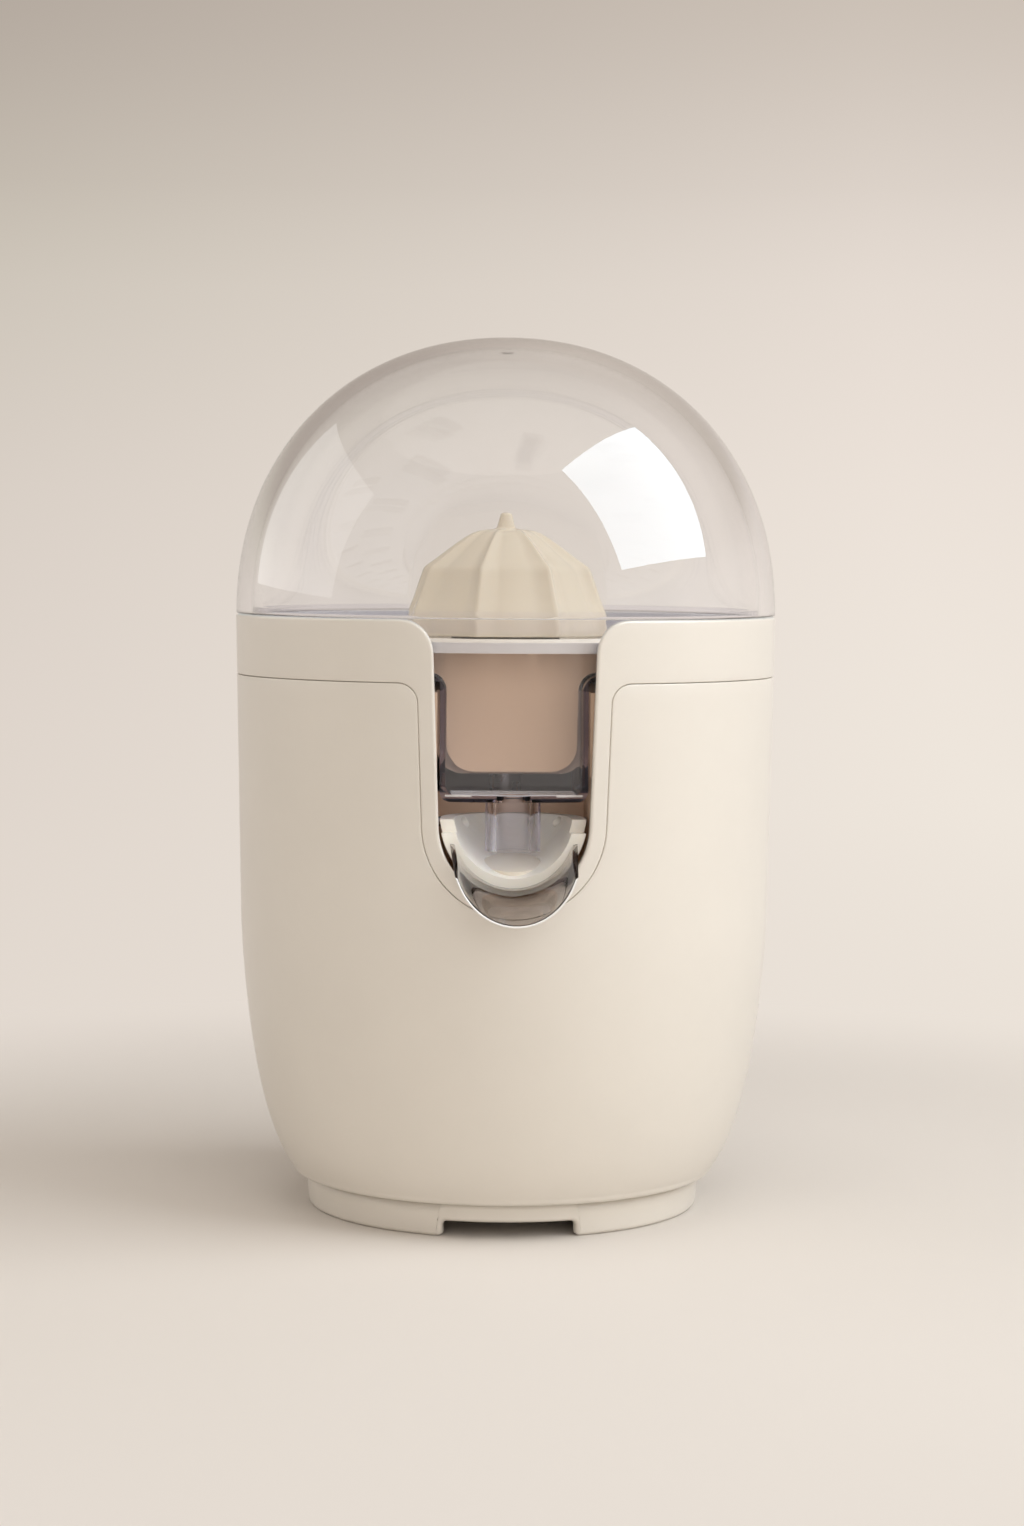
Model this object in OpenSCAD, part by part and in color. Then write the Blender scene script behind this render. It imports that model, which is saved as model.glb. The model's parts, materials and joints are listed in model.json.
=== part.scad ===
// Electric citrus press: a rounded body, a clear dome lid, a clear juice bowl with a front
// channel and nozzle, a reamer on a geared drive, and a drip-stop spout that tilts up.
// Millimetres. Origin at the centre of the underside, +Z up, the spout faces -Y.

/* [Body] */
// Outer radius at the lid seam
body_r = 84; // [80:0.5:90]
// Height of the lid seam above the table
rim_z = 184.3; // [180:0.1:192]
// Height of the upper collar
collar_h = 18.3; // [16:0.1:20]
// Radius lost between the lid seam and the start of the lower curve
side_taper = 1.6; // [0.5:0.1:3]
// Height where the side starts to curve in
curve_z = 94; // [85:1:100]
// Wall of the body and collar
shell_wall = 2.8; // [2.4:0.1:3.2]
// Open line between neighbouring mouldings
seam_gap = 0.25; // [0.2:0.05:0.4]

/* [Foot] */
// Height of the foot ring
foot_h = 10.5; // [9:0.5:12]
// Radius of the foot ring at its top
foot_r = 61.8; // [60:0.2:63]
// Radius lost by the foot ring towards the table
foot_draft = 1; // [0.5:0.1:1.5]
// Wall of the foot ring and thickness of the base plate
foot_wall = 3; // [2.5:0.5:3.5]
// Width of the notch at the front
notch_w = 41; // [30:1:44]
// Height of the notch at the front
notch_h = 4.8; // [4:0.1:6]
// Radius of each rubber foot
pad_r = 7; // [5:0.5:8]

/* [Front opening] */
// Radius of the round end of the opening
opening_r = 22.1; // [21.8:0.1:23]
// Depth of the round end's centre below the lid seam
opening_drop = 59.3; // [58:0.1:61]
// Angle that each side of the opening leans outwards
opening_lean = 2; // [1:0.5:3]
// Width of the smooth band around the opening
band_w = 4.7; // [4:0.1:6]
// Radius of the upper corners of the opening
mouth_corner = 10; // [8:1:12]
// Radius where the body seam turns down beside the opening
seam_corner = 6; // [5:1:8]

/* [Lid] */
// Height of the dome above the lid seam
lid_h = 86; // [80:1:92]
// Wall of the dome at its rim
lid_wall = 4.9; // [4:0.1:5.1]
// Wall of the dome at its top
lid_top_wall = 4; // [3:0.5:5]
// Roundness of the dome, where 2 is an ellipse
lid_power = 2.13; // [2:0.01:2.4]

/* [Juice bowl] */
// Depth of the bowl floor below the lid seam
bowl_depth = 16.3; // [15.8:0.1:16.8]
// Wall of the bowl
bowl_wall = 1.8; // [1.5:0.1:2]
// Height of the bowl flange
flange_h = 4; // [3.5:0.1:4.2]
// Height of the rib that centres the lid
upstand_h = 2.3; // [1.5:0.1:3]
// Outer width of the front channel
channel_w = 43.2; // [42:0.1:43.2]
// Depth of the channel from front to back
channel_len = 21.4; // [20:0.2:22]
// Height of the channel below the bowl floor
channel_h = 36.6; // [35:0.2:37.5]
// Outer radius of the nozzle
nozzle_r = 8.1; // [7:0.1:8.5]
// Bore radius of the nozzle
nozzle_bore_r = 5; // [4:0.1:5.5]
// Length of the nozzle below the channel
nozzle_len = 14.7; // [14:0.1:15]
// Distance of the nozzle's axis behind the front of the bowl
nozzle_setback = 8.9; // [8.7:0.1:9.5]

/* [Strainer] */
// Thickness of the strainer plate
strainer_t = 1.8; // [1.4:0.1:2]
// Height of the strainer rim
strainer_rim_h = 3.1; // [2.8:0.1:3.3]
// Number of slots in each ring of the strainer
slot_count = 32; // [24:2:40]
// Width of a strainer slot
slot_w = 1.6; // [1:0.1:2]
// Space under the baffle that hangs in the channel
baffle_gap = 6; // [4:0.5:8]

/* [Reamer] */
// Radius of the reamer at its base
reamer_r = 32.6; // [31:0.2:33.4]
// Height of the reamer without its tip
reamer_h = 32.1; // [30:0.1:33]
// Number of ridges
ridge_count = 8; // [6:1:10]
// Depth of the hollow between two ridges
flute_depth = 3.4; // [2:0.1:3.8]
// Height of the tip
tip_h = 5.8; // [4:0.2:7]

/* [Spout] */
// Slope of the trough when the spout is open, which is also its travel
spout_slope = 15; // [13:0.5:16]
// Inner radius of the spout trough
trough_r = 17.4; // [17:0.1:17.8]
// Wall of the spout trough
trough_wall = 4.1; // [3.4:0.1:4.2]
// Slope of the clear lip
lip_slope = 18; // [15:0.5:19]
// Reach of the clear lip in front of the trough
lip_reach = 27; // [22:0.5:28]
// Wall of the clear lip
lip_wall = 1.3; // [1.1:0.1:1.5]
// How much the lip's radius shrinks on its way to the front
lip_taper = 1.8; // [0:0.1:2.5]
// Radius of the drip-stop pad
drip_pad_r = 8.25; // [8:0.05:8.6]
// Radius of each spout hinge pin
pin_r = 1.5; // [1.2:0.1:1.8]

/* [Drive] */
// Gear module
gear_m = 1; // [1:0.05:1.05]
// Teeth of the large gears
wheel_teeth = 60; // [56:1:62]
// Teeth of the small gears
pinion_teeth = 12; // [12:1:13]
// Face width of the output gear
gear_face = 8; // [6:0.5:8.5]
// Radius of the drive shaft
shaft_r = 5; // [4.5:0.1:5.2]
// Travel of the reamer when it is pressed
press_travel = 1.5; // [1:0.1:1.6]
// Outer radius of the motor
motor_r = 27; // [24:0.5:27.5]

/* [Hidden] */
$fn = 96;

cream = [0.92, 0.88, 0.80];
dark_cream = [0.84, 0.78, 0.70];
clear = [0.88, 0.90, 0.94, 0.35];
steel = [0.72, 0.73, 0.75];
black = [0.14, 0.14, 0.15];
copper = [0.75, 0.42, 0.25];
acetal = [0.95, 0.95, 0.92];
far = 300;         // longer than anything that is cut
fit = 0.06;        // radial clearance of a running fit
loose = 0.3;       // clearance between pieces that come apart
seat = 0.2;        // gap under a piece that rests on another

// Side of the body: a slight taper, then a curve that tightens towards the foot.
curve_end = 1.5;   // height at which the lower curve would meet the axis
function side_r(z) = z >= curve_z
    ? body_r - side_taper * (rim_z - z) / (rim_z - curve_z)
    : (body_r - side_taper) * pow(1 - pow((curve_z - z) / (curve_z - curve_end), 1.5), 1 / 8);
function side_steps(z0, z1, n) = [for (i = [0 : n]) z0 + (z1 - z0) * i * i / (n * n)];
function side_line(zs, inset) = [for (z = zs) [side_r(z) - inset, z]];
function reversed(list) = [for (i = [len(list) - 1 : -1 : 0]) list[i]];

// Heights and radii that several pieces share.
seam_z = rim_z - collar_h;
opening_z = rim_z - opening_drop;
band_r = opening_r + band_w;
inner_r = body_r - shell_wall;
ledge_z = rim_z - flange_h - seat;
ledge_h = 4;
flange_r = inner_r - loose;
bowl_r = flange_r - 3.4;
ledge_r = bowl_r + loose;
bowl_floor_z = rim_z - bowl_depth;
bowl_under_z = bowl_floor_z - bowl_wall;
channel_z = bowl_floor_z - channel_h;
channel_back = bowl_r - channel_len;
nozzle_y = bowl_r - nozzle_setback;
strainer_z = rim_z - 9.8;
deck_t = 3;
deck_z = bowl_under_z - 6.2;
deck_top = deck_z + deck_t;
deck_r = ledge_r + 1.3;
tunnel_r = opening_r + 0.2;
tunnel_wall = 2;
niche_z = channel_z + 7;
niche_back = channel_back - 1.4;
niche_front = bowl_r - 5.3;
column_r = 6;
boss_r = 4.5;
column_at = inner_r - 6;
screw_r = 1.5;
screw_fit = 0.05;

// Gear train, from the top of the gearbox downwards. It hangs just below the spout's tunnel.
cover_top = opening_z - tunnel_r - tunnel_wall - 1.2;
cover_t = 3;
output_z = cover_top - cover_t - 4 - gear_face;
pinion_top = output_z - 4;
tray_floor = pinion_top - 10;
tray_z = tray_floor - 3;
axle_gap = gear_m * (wheel_teeth + pinion_teeth) / 2;
wheel_r = gear_m * wheel_teeth / 2;
gearbox_r = wheel_r + 5;
gearbox_wall = 2;
hub_r = shaft_r + 3;
motor_shaft_r = 2.5;
bush_wall = 2.45;
rotor_r = motor_r - 11.5;
idler_r = 3;
motor_z = foot_h + 9;
motor_len = tray_z - motor_z;
plate_z = cover_top + 10;
plate_t = 2.5;
post_x = wheel_r - 2.5;
ear_x = gearbox_r + 3;

// Spout: a sloping trough whose closed back end is round. Tilted up by its slope, its pad
// closes the nozzle, and that places the hinge.
spout_front = body_r - 7.8;
spout_axis_z = opening_z + 2.1;
spout_r = trough_r + trough_wall;
lip_r = spout_r - trough_wall / 2 + 0.25;
lip_drop = 1.9;
trough_len = 14;
ear_z = opening_z - 2.7;
ear_len = 5;
wall_top_z = opening_z + 1;
nozzle_z = channel_z - nozzle_len;
slot_half = channel_w / 2 - bowl_wall;
flare = 5;         // how far the top of the channel's slot widens
drip_pad_t = 2;
pad_gap = 0.3;
pad_drop = 11;
hinge_z = opening_z - 1;
pad_back = (pad_drop * cos(spout_slope) - hinge_z + nozzle_z - pad_gap) / sin(spout_slope);
hinge_y = nozzle_y - pad_back * cos(spout_slope) - pad_drop * sin(spout_slope);

// ---------- shared shapes ----------

module ring(r_out, r_in, z0, z1) {
    translate([0, 0, z0]) difference() {
        cylinder(r = r_out, h = z1 - z0);
        translate([0, 0, -1]) cylinder(r = r_in, h = z1 - z0 + 2);
    }
}

module around(count, radius, start = 0) {
    for (i = [0 : count - 1])
        rotate([0, 0, start + i * 360 / count]) translate([radius, 0, 0]) children();
}

// Extrudes an outline drawn in x and z from y = -back to y = -front.
module to_front(front, back) {
    translate([0, -back, 0]) rotate([90, 0, 0]) linear_extrude(front - back) children();
}

// Hole for the shank of a screw.
module screw_hole(h) {
    cylinder(r = screw_r + screw_fit, h = h);
}

// Screw with its head's underside at z = 0 and its shank pointing down.
module screw(length, head_r = 2.8, head_h = 2) {
    difference() {
        union() {
            translate([0, 0, -length]) cylinder(r = screw_r, h = length + 0.5);
            cylinder(r = head_r, h = head_h);
        }
        for (a = [0, 90]) rotate([0, 0, a])
            translate([-head_r * 0.6, -0.35, head_h * 0.4]) cube([head_r * 1.2, 0.7, head_h]);
    }
}

// Points of an arc from angle a0 to a1.
function arc(x, z, r, a0, a1, n) = [for (i = [0 : n]) let (a = a0 + (a1 - a0) * i / n)
    [x + r * cos(a), z + r * sin(a)]];

// Half width of a U outline of end radius r at height z.
function u_half(r, z) = r / cos(opening_lean) + (z - opening_z) * tan(opening_lean);

module u_outline(r, top) {
    polygon(concat(
        arc(0, opening_z, r, 180 + opening_lean, 360 - opening_lean, 24),
        [[u_half(r, top), top], [-u_half(r, top), top]]
    ));
}

// U outline whose sides turn outwards at height edge with radius corner.
module flared_u(r, edge, corner, top) {
    out = u_half(r, edge - corner) + corner;
    polygon(concat(
        arc(0, opening_z, r, 180 + opening_lean, 360 - opening_lean, 24),
        arc(out, edge - corner, corner, 180, 90, 8),
        [[out, top], [-out, top]],
        arc(-out, edge - corner, corner, 90, 0, 8)
    ));
}

// Involute spur gear in the plane; lead sets the angle of its first tooth.
tooth_thinning = 0.12;
function involute(x) = tan(x) - x * PI / 180;
function flank(rp, rb, r, half) = half + (involute(20) - involute(acos(min(1, rb / r)))) * 180 / PI;
function polar(r, a) = [r * cos(a), r * sin(a)];
module gear_outline(teeth, lead, addendum = 1) {
    rp = gear_m * teeth / 2;
    rb = rp * cos(20);
    tip = rp + gear_m * addendum;
    root = rp - 1.3 * gear_m;
    start = max(rb, root);
    half = 90 / teeth - tooth_thinning / rp * 90 / PI;
    root_half = flank(rp, rb, start, half) * 1.02;
    radii = [for (s = [0, 0.4, 0.7, 1]) start + (tip - start) * s];
    polygon([for (i = [0 : teeth - 1]) let (c = lead + i * 360 / teeth) each concat(
        [polar(root, c - root_half)],
        [for (r = radii) polar(r, c - flank(rp, rb, r, half))],
        [for (r = reversed(radii)) polar(r, c + flank(rp, rb, r, half))],
        [polar(root, c + root_half)]
    )]);
}

// Two circles a gear distance apart with the space between them: the gearbox outline.
module gearbox_outline(r) {
    circle(r = r);
    translate([0, axle_gap]) circle(r = r);
    translate([-r, 0]) square([2 * r, axle_gap]);
}

// Outer side of the body as a shell between two heights.
module side_shell(wall, z0, z1, n = 16) {
    mid = max(z0, min(curve_z, z1));
    zs = z0 < curve_z ? concat(side_steps(z0, mid, n), [z1]) : [z0, z1];
    rotate_extrude() polygon(concat(side_line(zs, 0), reversed(side_line(zs, wall))));
}

// ---------- housing ----------

gland_z = 26;
gland_r = 6;
base_screw_at = foot_r - 6.8;
shelf_r = base_screw_at - 5;
base_screw_angles = [20, 160, 200, 340];
column_angles = [35, 145, 215, 325];
column_h = 56;

module body_shell() {
    color(cream) difference() {
        union() {
            difference() {
                side_shell(shell_wall, foot_h, seam_z - seam_gap);
                to_front(far, 40)
                    flared_u(band_r + seam_gap, seam_z - seam_gap, seam_corner - seam_gap, seam_z + 1);
            }
            ring(side_r(foot_h) - 1, shelf_r, foot_h, foot_h + 2.5);
            for (a = base_screw_angles) rotate([0, 0, a]) translate([base_screw_at, 0, foot_h])
                cylinder(r = 3.6, h = 13);
            for (a = column_angles) rotate([0, 0, a]) translate([column_at, 0, deck_z - column_h])
                cylinder(r = column_r, h = column_h);
        }
        for (a = base_screw_angles) rotate([0, 0, a])
            translate([base_screw_at, 0, foot_h - 1]) screw_hole(12);
        for (a = column_angles) rotate([0, 0, a]) translate([column_at, 0, deck_z - 16]) screw_hole(20);
        translate([0, 0, gland_z]) rotate([-90, 0, 0]) cylinder(r = gland_r + screw_fit, h = far);
    }
}

module collar() {
    spigot_r = side_r(seam_z - 4.5) - shell_wall - seam_gap;
    color(cream) difference() {
        union() {
            rotate_extrude() polygon([
                [spigot_r, seam_z - 4.5], [spigot_r, seam_z], [side_r(seam_z), seam_z],
                [body_r, rim_z], [inner_r, rim_z], [inner_r, ledge_z], [ledge_r, ledge_z],
                [ledge_r, ledge_z - ledge_h], [inner_r - 1.7, ledge_z - ledge_h],
                [spigot_r - 1.3, seam_z], [spigot_r - 1.3, seam_z - 4.5]
            ]);
            intersection() {
                side_shell(shell_wall, opening_z - band_r - 1, seam_z);
                to_front(far, 40) flared_u(band_r, seam_z, seam_corner, seam_z);
            }
            intersection() {
                ring(inner_r - 0.6, ledge_r, opening_z - band_r, ledge_z);
                to_front(far, 40) u_outline(opening_r + tunnel_wall, ledge_z);
            }
        }
        to_front(far, 40) flared_u(opening_r, rim_z, mouth_corner, rim_z + 1);
    }
}

module base_plate() {
    inner = foot_r - foot_wall;
    floor_r = foot_r - foot_draft;
    edge = 1.5;
    color(cream) difference() {
        union() {
            rotate_extrude() polygon(concat(
                [[0, foot_h], [0, foot_h - foot_wall], [inner - foot_draft, foot_h - foot_wall],
                 [inner - foot_draft, 0]],
                [for (a = [-90 : 15 : 0]) [floor_r - edge + edge * cos(a), edge + edge * sin(a)]],
                [[foot_r, foot_h]]
            ));
            around(4, pad_at, 45)
                ring(pad_r + 1.6, pad_r + screw_fit, foot_h - foot_wall - 2.5, foot_h - foot_wall);
        }
        to_front(far, inner - foot_wall - 3) notch_outline();
        for (a = base_screw_angles) rotate([0, 0, a]) translate([base_screw_at, 0, 0]) screw_hole(foot_h + 1);
    }
}

pad_at = 46;
module notch_outline() {
    corner = 1.6;
    half = notch_w / 2;
    translate([-half, -1]) square([notch_w, notch_h + 1 - corner]);
    translate([-half + corner, -1]) square([notch_w - 2 * corner, notch_h + 1]);
    for (s = [-1, 1]) {
        translate([s * (half - corner), notch_h - corner]) circle(r = corner);
        scale([s, 1]) difference() {
            translate([half - 0.1, -1]) square([corner + 0.1, corner + 1]);
            translate([half + corner, corner]) circle(r = corner);
        }
    }
}

module rubber_feet() {
    color(black) around(4, pad_at, 45) cylinder(r = pad_r, h = foot_h - foot_wall);
}

module base_screws() {
    color(steel) for (a = base_screw_angles) rotate([0, 0, a])
        translate([base_screw_at, 0, foot_h - foot_wall]) rotate([180, 0, 0]) screw(12.5);
}

// ---------- deck under the bowl ----------

hanger_spots = [[-post_x, 0], [post_x, 0], [-post_x, axle_gap + 4], [post_x, axle_gap + 4]];
cradle_post_x = tunnel_r + tunnel_wall + 5.2;
cradle_post_y = niche_back - 4.6;
tower_r = shaft_r + 6.5;
tower_bore = shaft_r + 3.1;
tower_z = deck_z - 11.5;
tower_top = deck_top + 10.5;

module deck() {
    color(dark_cream) difference() {
        union() {
            translate([0, 0, deck_z]) cylinder(r = deck_r, h = deck_t);
            translate([0, 0, tower_z]) cylinder(r = tower_r, h = tower_top - tower_z);
            niche_walls();
        }
        to_front(far, niche_back) slot_outline(tunnel_r, 0);
        to_front(far, niche_front) slot_outline(band_r + 8, 0);
        translate([0, 0, tower_z - 1]) cylinder(r = tower_bore, h = far);
        for (p = hanger_spots) translate([p[0], p[1], deck_z - 1]) screw_hole(deck_t + 2);
        for (s = [-1, 1]) translate([s * cradle_post_x, -cradle_post_y, deck_z - 1]) screw_hole(deck_t + 2);
        for (a = column_angles) rotate([0, 0, a])
            translate([column_at, 0, deck_z - 1]) screw_hole(deck_t + 2);
    }
}

// Slot of a given half width, open at the top.
module slot_outline(half, low) {
    translate([-half, low]) square([2 * half, far]);
}

// Walls around the bowl's channel; the rear one ends in an apron with round lower corners.
module niche_walls() {
    corner = 8;
    half = tunnel_r - corner;
    for (s = [-1, 1]) scale([s, 1, 1]) translate([tunnel_r, -niche_front, niche_z])
        cube([tunnel_wall, niche_front - niche_back + tunnel_wall, deck_top - niche_z]);
    to_front(niche_back, niche_back - tunnel_wall) {
        translate([-tunnel_r - 1, niche_z + corner])
            square([2 * tunnel_r + 2, deck_top - niche_z - corner]);
        translate([-half, niche_z]) square([2 * half, corner + 1]);
        for (s = [-1, 1]) translate([s * half, niche_z + corner]) circle(r = corner);
    }
}

module deck_screws() {
    color(steel) for (a = column_angles) rotate([0, 0, a])
        translate([column_at, 0, deck_top]) screw(deck_t + 13, 2.6);
}

module hanger_screws() {
    color(steel) for (p = hanger_spots) translate([p[0], p[1], deck_top]) screw(deck_t + 12);
}

module deck_bush() {
    color([0.76, 0.62, 0.36]) ring(tower_bore - 0.02, shaft_r + fit, tower_z + 1, deck_z + 4);
}

module shaft_seal() {
    color(black) ring(tower_bore - 0.02, shaft_r + fit, tower_top - 5, tower_top - 1);
}

// ---------- spout cradle ----------

cradle_back = nozzle_y - 27.6;
module spout_cradle() {
    cradle_top = niche_z - loose;
    color(dark_cream) difference() {
        union() {
            intersection() {
                cylinder(r = ledge_r - loose, h = cradle_top);
                to_front(far, cradle_back - tunnel_wall) u_outline(tunnel_r + tunnel_wall, far);
            }
            for (s = [-1, 1]) translate([s * cradle_post_x, -cradle_post_y, opening_z - 13])
                cylinder(r = 4, h = deck_z - opening_z + 13);
            for (s = [-1, 1]) scale([s, 1, 1])
                translate([tunnel_r + tunnel_wall - 1, -cradle_post_y - 1.5, opening_z - 13])
                    cube([3.5, 3, cradle_top - opening_z + 13]);
        }
        to_front(far, cradle_back) u_outline(tunnel_r, far);
        translate([-far / 2, -cradle_back - 1, channel_z + 0.6]) cube(far);
        for (s = [-1, 1]) translate([s * cradle_post_x, -cradle_post_y, deck_z - 14]) screw_hole(15);
        translate([-far / 2, -hinge_y, hinge_z]) rotate([0, 90, 0]) cylinder(r = pin_r + fit, h = far);
    }
}

module cradle_screws() {
    color(steel) for (s = [-1, 1])
        translate([s * cradle_post_x, -cradle_post_y, deck_top]) screw(deck_t + 12);
}

// ---------- motor ----------

module motor_can() {
    color(steel) difference() {
        translate([0, 0, motor_z]) cylinder(r = motor_r, h = motor_len);
        translate([0, 0, motor_z - 1]) cylinder(r = motor_r - 1, h = motor_len);
        translate([0, 0, motor_z]) cylinder(r = motor_shaft_r + bush_wall + 0.6, h = far);
    }
}

motor_bolt_x = motor_r + 2.5;
module motor_end_cap() {
    color(steel) difference() {
        union() {
            translate([0, 0, motor_z - 3]) cylinder(r = motor_r, h = 3);
            translate([0, 0, motor_z - 6]) cylinder(r = 8, h = 6);
            for (s = [-1, 1]) translate([s * motor_bolt_x, 0, motor_z - 3]) cylinder(r = 4, h = 3);
        }
        translate([0, 0, motor_z - 5]) cylinder(r = motor_shaft_r + bush_wall, h = far);
        for (s = [-1, 1]) translate([s * motor_bolt_x, 0, motor_z - 4]) screw_hole(5);
    }
}

module stator_core() {
    color(steel) difference() {
        ring(motor_r - 1.05, rotor_r + 0.5, motor_z + 10, tray_z - 10);
        around(8, rotor_r + 4.5, 22.5) translate([0, 0, motor_z]) cylinder(r = 2.2, h = motor_len);
    }
}

module stator_coils() {
    color(copper) for (z = [motor_z + 4, tray_z - 9.9])
        rotate_extrude() translate([rotor_r + 5.5, z + 2.95]) intersection() {
            circle(r = 4);
            square([8, 5.9], center = true);
        }
}

module motor_bushes() {
    color([0.76, 0.62, 0.36]) {
        ring(motor_shaft_r + bush_wall - 0.02, motor_shaft_r + fit, motor_z - 5, motor_z);
        ring(motor_shaft_r + bush_wall - 0.02, motor_shaft_r + fit, tray_z - 1, tray_floor - 0.5);
    }
}

module motor_screws() {
    color(steel) for (s = [-1, 1])
        translate([s * motor_bolt_x, 0, tray_floor]) screw(motor_len + 5.5, 2.6, 1.8);
}

module motor_shaft() {
    low = motor_z - 4.6;
    color(steel) translate([0, 0, low]) cylinder(r = motor_shaft_r, h = pinion_top - low);
}

module rotor_core() {
    color([0.25, 0.25, 0.27]) ring(rotor_r, motor_shaft_r, motor_z + 9, tray_z - 9);
}

module motor_pinion() {
    color(steel) difference() {
        translate([0, 0, tray_floor + 1])
            linear_extrude(pinion_top - tray_floor - 1) gear_outline(pinion_teeth, 90);
        translate([0, 0, tray_floor]) cylinder(r = motor_shaft_r, h = 20);
    }
}

// ---------- gearbox ----------

// Puts its children at each of the four ears, at height z.
module at_ears(z) {
    for (s = [-1, 1], y = [6, axle_gap - 6]) translate([s * ear_x, y, z]) children();
}

module gearbox_tray() {
    top = cover_top - cover_t;
    color(dark_cream) difference() {
        union() {
            difference() {
                union() {
                    translate([0, 0, tray_z]) linear_extrude(top - tray_z) gearbox_outline(gearbox_r);
                    at_ears(top - 13) cylinder(r = boss_r, h = 13);
                }
                translate([0, 0, tray_floor])
                    linear_extrude(far) gearbox_outline(gearbox_r - gearbox_wall);
            }
            translate([0, axle_gap, tray_z]) cylinder(r = idler_r + 2.5, h = tray_floor - tray_z + 1.2);
        }
        translate([0, 0, tray_z - 1]) cylinder(r = motor_shaft_r + bush_wall, h = 10);
        translate([0, axle_gap, tray_z + 1]) cylinder(r = idler_r + 0.02, h = 10);
        for (s = [-1, 1]) translate([s * motor_bolt_x, 0, tray_z - 1]) screw_hole(9);
        at_ears(top - 12) screw_hole(13);
    }
}

module gearbox_cover() {
    color(dark_cream) difference() {
        union() {
            translate([0, 0, cover_top - cover_t]) linear_extrude(cover_t) gearbox_outline(gearbox_r);
            at_ears(cover_top - cover_t) cylinder(r = boss_r, h = cover_t);
            for (p = hanger_spots) translate([p[0], p[1], cover_top - 1])
                cylinder(r = boss_r, h = deck_z - cover_top + 1);
        }
        translate([0, 0, cover_top - cover_t - 1]) cylinder(r = hub_r + 2.5, h = cover_t + 2);
        translate([0, axle_gap, cover_top - cover_t - 1]) cylinder(r = idler_r + 0.02, h = 3);
        for (p = hanger_spots) translate([p[0], p[1], deck_z - 13]) screw_hole(14);
        at_ears(cover_top - cover_t - 1) screw_hole(cover_t + 2);
    }
}

module gearbox_screws() {
    color(steel) at_ears(cover_top) screw(cover_t + 10);
}

module idler_pin() {
    color(steel) translate([0, axle_gap, tray_z + 1]) cylinder(r = idler_r, h = cover_top - 1 - tray_z - 1);
}

module idler_gear() {
    wheel_z = tray_floor + 1.6;
    wheel_h = pinion_top - wheel_z - 1.5;
    pinion_end = cover_top - cover_t - 1;
    color(acetal) translate([0, axle_gap, 0]) difference() {
        union() {
            translate([0, 0, wheel_z])
                linear_extrude(wheel_h) gear_outline(wheel_teeth, -90 + 180 / wheel_teeth, 0.8);
            translate([0, 0, wheel_z])
                linear_extrude(pinion_end - wheel_z) gear_outline(pinion_teeth, -90 + 180 / pinion_teeth);
        }
        translate([0, 0, wheel_z - 1]) cylinder(r = idler_r + fit, h = far);
    }
}

module output_gear() {
    color(acetal) difference() {
        union() {
            translate([0, 0, output_z]) linear_extrude(gear_face) gear_outline(wheel_teeth, 90, 0.8);
            translate([0, 0, output_z]) cylinder(r = hub_r, h = cover_top + 2.4 - output_z);
        }
        translate([0, 0, output_z - 1]) cylinder(r = shaft_r + fit, h = far, $fn = 6);
    }
}

module output_bush() {
    color([0.76, 0.62, 0.36]) ring(hub_r + 2.48, hub_r + fit, cover_top - cover_t, cover_top);
}

module gear_clip() {
    color(steel) difference() {
        ring(hub_r + 1.6, hub_r + 0.01, cover_top + 0.4, cover_top + 1.4);
        translate([hub_r - 2, -1.5, cover_top]) cube([6, 3, 3]);
    }
}

// ---------- drive shaft and press switch ----------

hex_z = rim_z - 9;
hex_h = 25;
module drive_shaft() {
    color(steel) {
        translate([0, 0, output_z - 0.8]) cylinder(r = shaft_r, h = cover_top + 6 - output_z, $fn = 6);
        translate([0, 0, cover_top + 5]) cylinder(r = shaft_r, h = hex_z - cover_top - 5);
        translate([0, 0, hex_z - 1]) cylinder(r = shaft_r, h = hex_h, $fn = 6);
    }
}

module thrust_washer() {
    color(steel) ring(shaft_r + 4.5, shaft_r, plate_z + plate_t + seat, plate_z + plate_t + seat + 1.5);
}

switch_y = gearbox_r - 9.5;
module press_plate() {
    color(acetal) difference() {
        union() {
            translate([0, 0, plate_z]) cylinder(r = shaft_r + 10, h = plate_t);
            translate([-4, -switch_y - 2.5, plate_z]) cube([8, switch_y, plate_t]);
        }
        translate([0, 0, plate_z - 1]) cylinder(r = shaft_r + loose, h = plate_t + 2);
    }
}

button_r = 1.2;
switch_h = 8.2;
module microswitch() {
    color(black) difference() {
        translate([-10, -switch_y - 3.2, cover_top]) cube([20, 6.4, switch_h]);
        translate([0, -switch_y, cover_top + switch_h - 4]) cylinder(r = button_r + fit, h = 5);
        for (x = [-6, 6]) translate([x, -switch_y - 4, cover_top + 3])
            rotate([-90, 0, 0]) cylinder(r = 1.2, h = 9);
    }
}

module switch_button() {
    low = cover_top + switch_h - 2.3;
    color([0.7, 0.15, 0.12]) translate([0, -switch_y, low]) cylinder(r = button_r, h = plate_z - low);
}

spring_turns = 5;
spring_wire = 0.6;
spring_gap = 0.15;
spring_r = shaft_r + 6.6;
module return_spring() {
    sides = 6;
    steps = 14;
    last = spring_turns * steps;
    low = cover_top + spring_wire + spring_gap;
    rise = plate_z - spring_wire - spring_gap - low;
    rings = [for (i = [0 : last]) let (a = i * 360 / steps, z = low + rise * i / last)
        [for (k = [0 : sides - 1]) let (b = k * 360 / sides, r = spring_r + spring_wire * cos(b))
            [r * cos(a), r * sin(a), z + spring_wire * sin(b)]]];
    color(steel) swept_tube(rings, sides);
}

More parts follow.
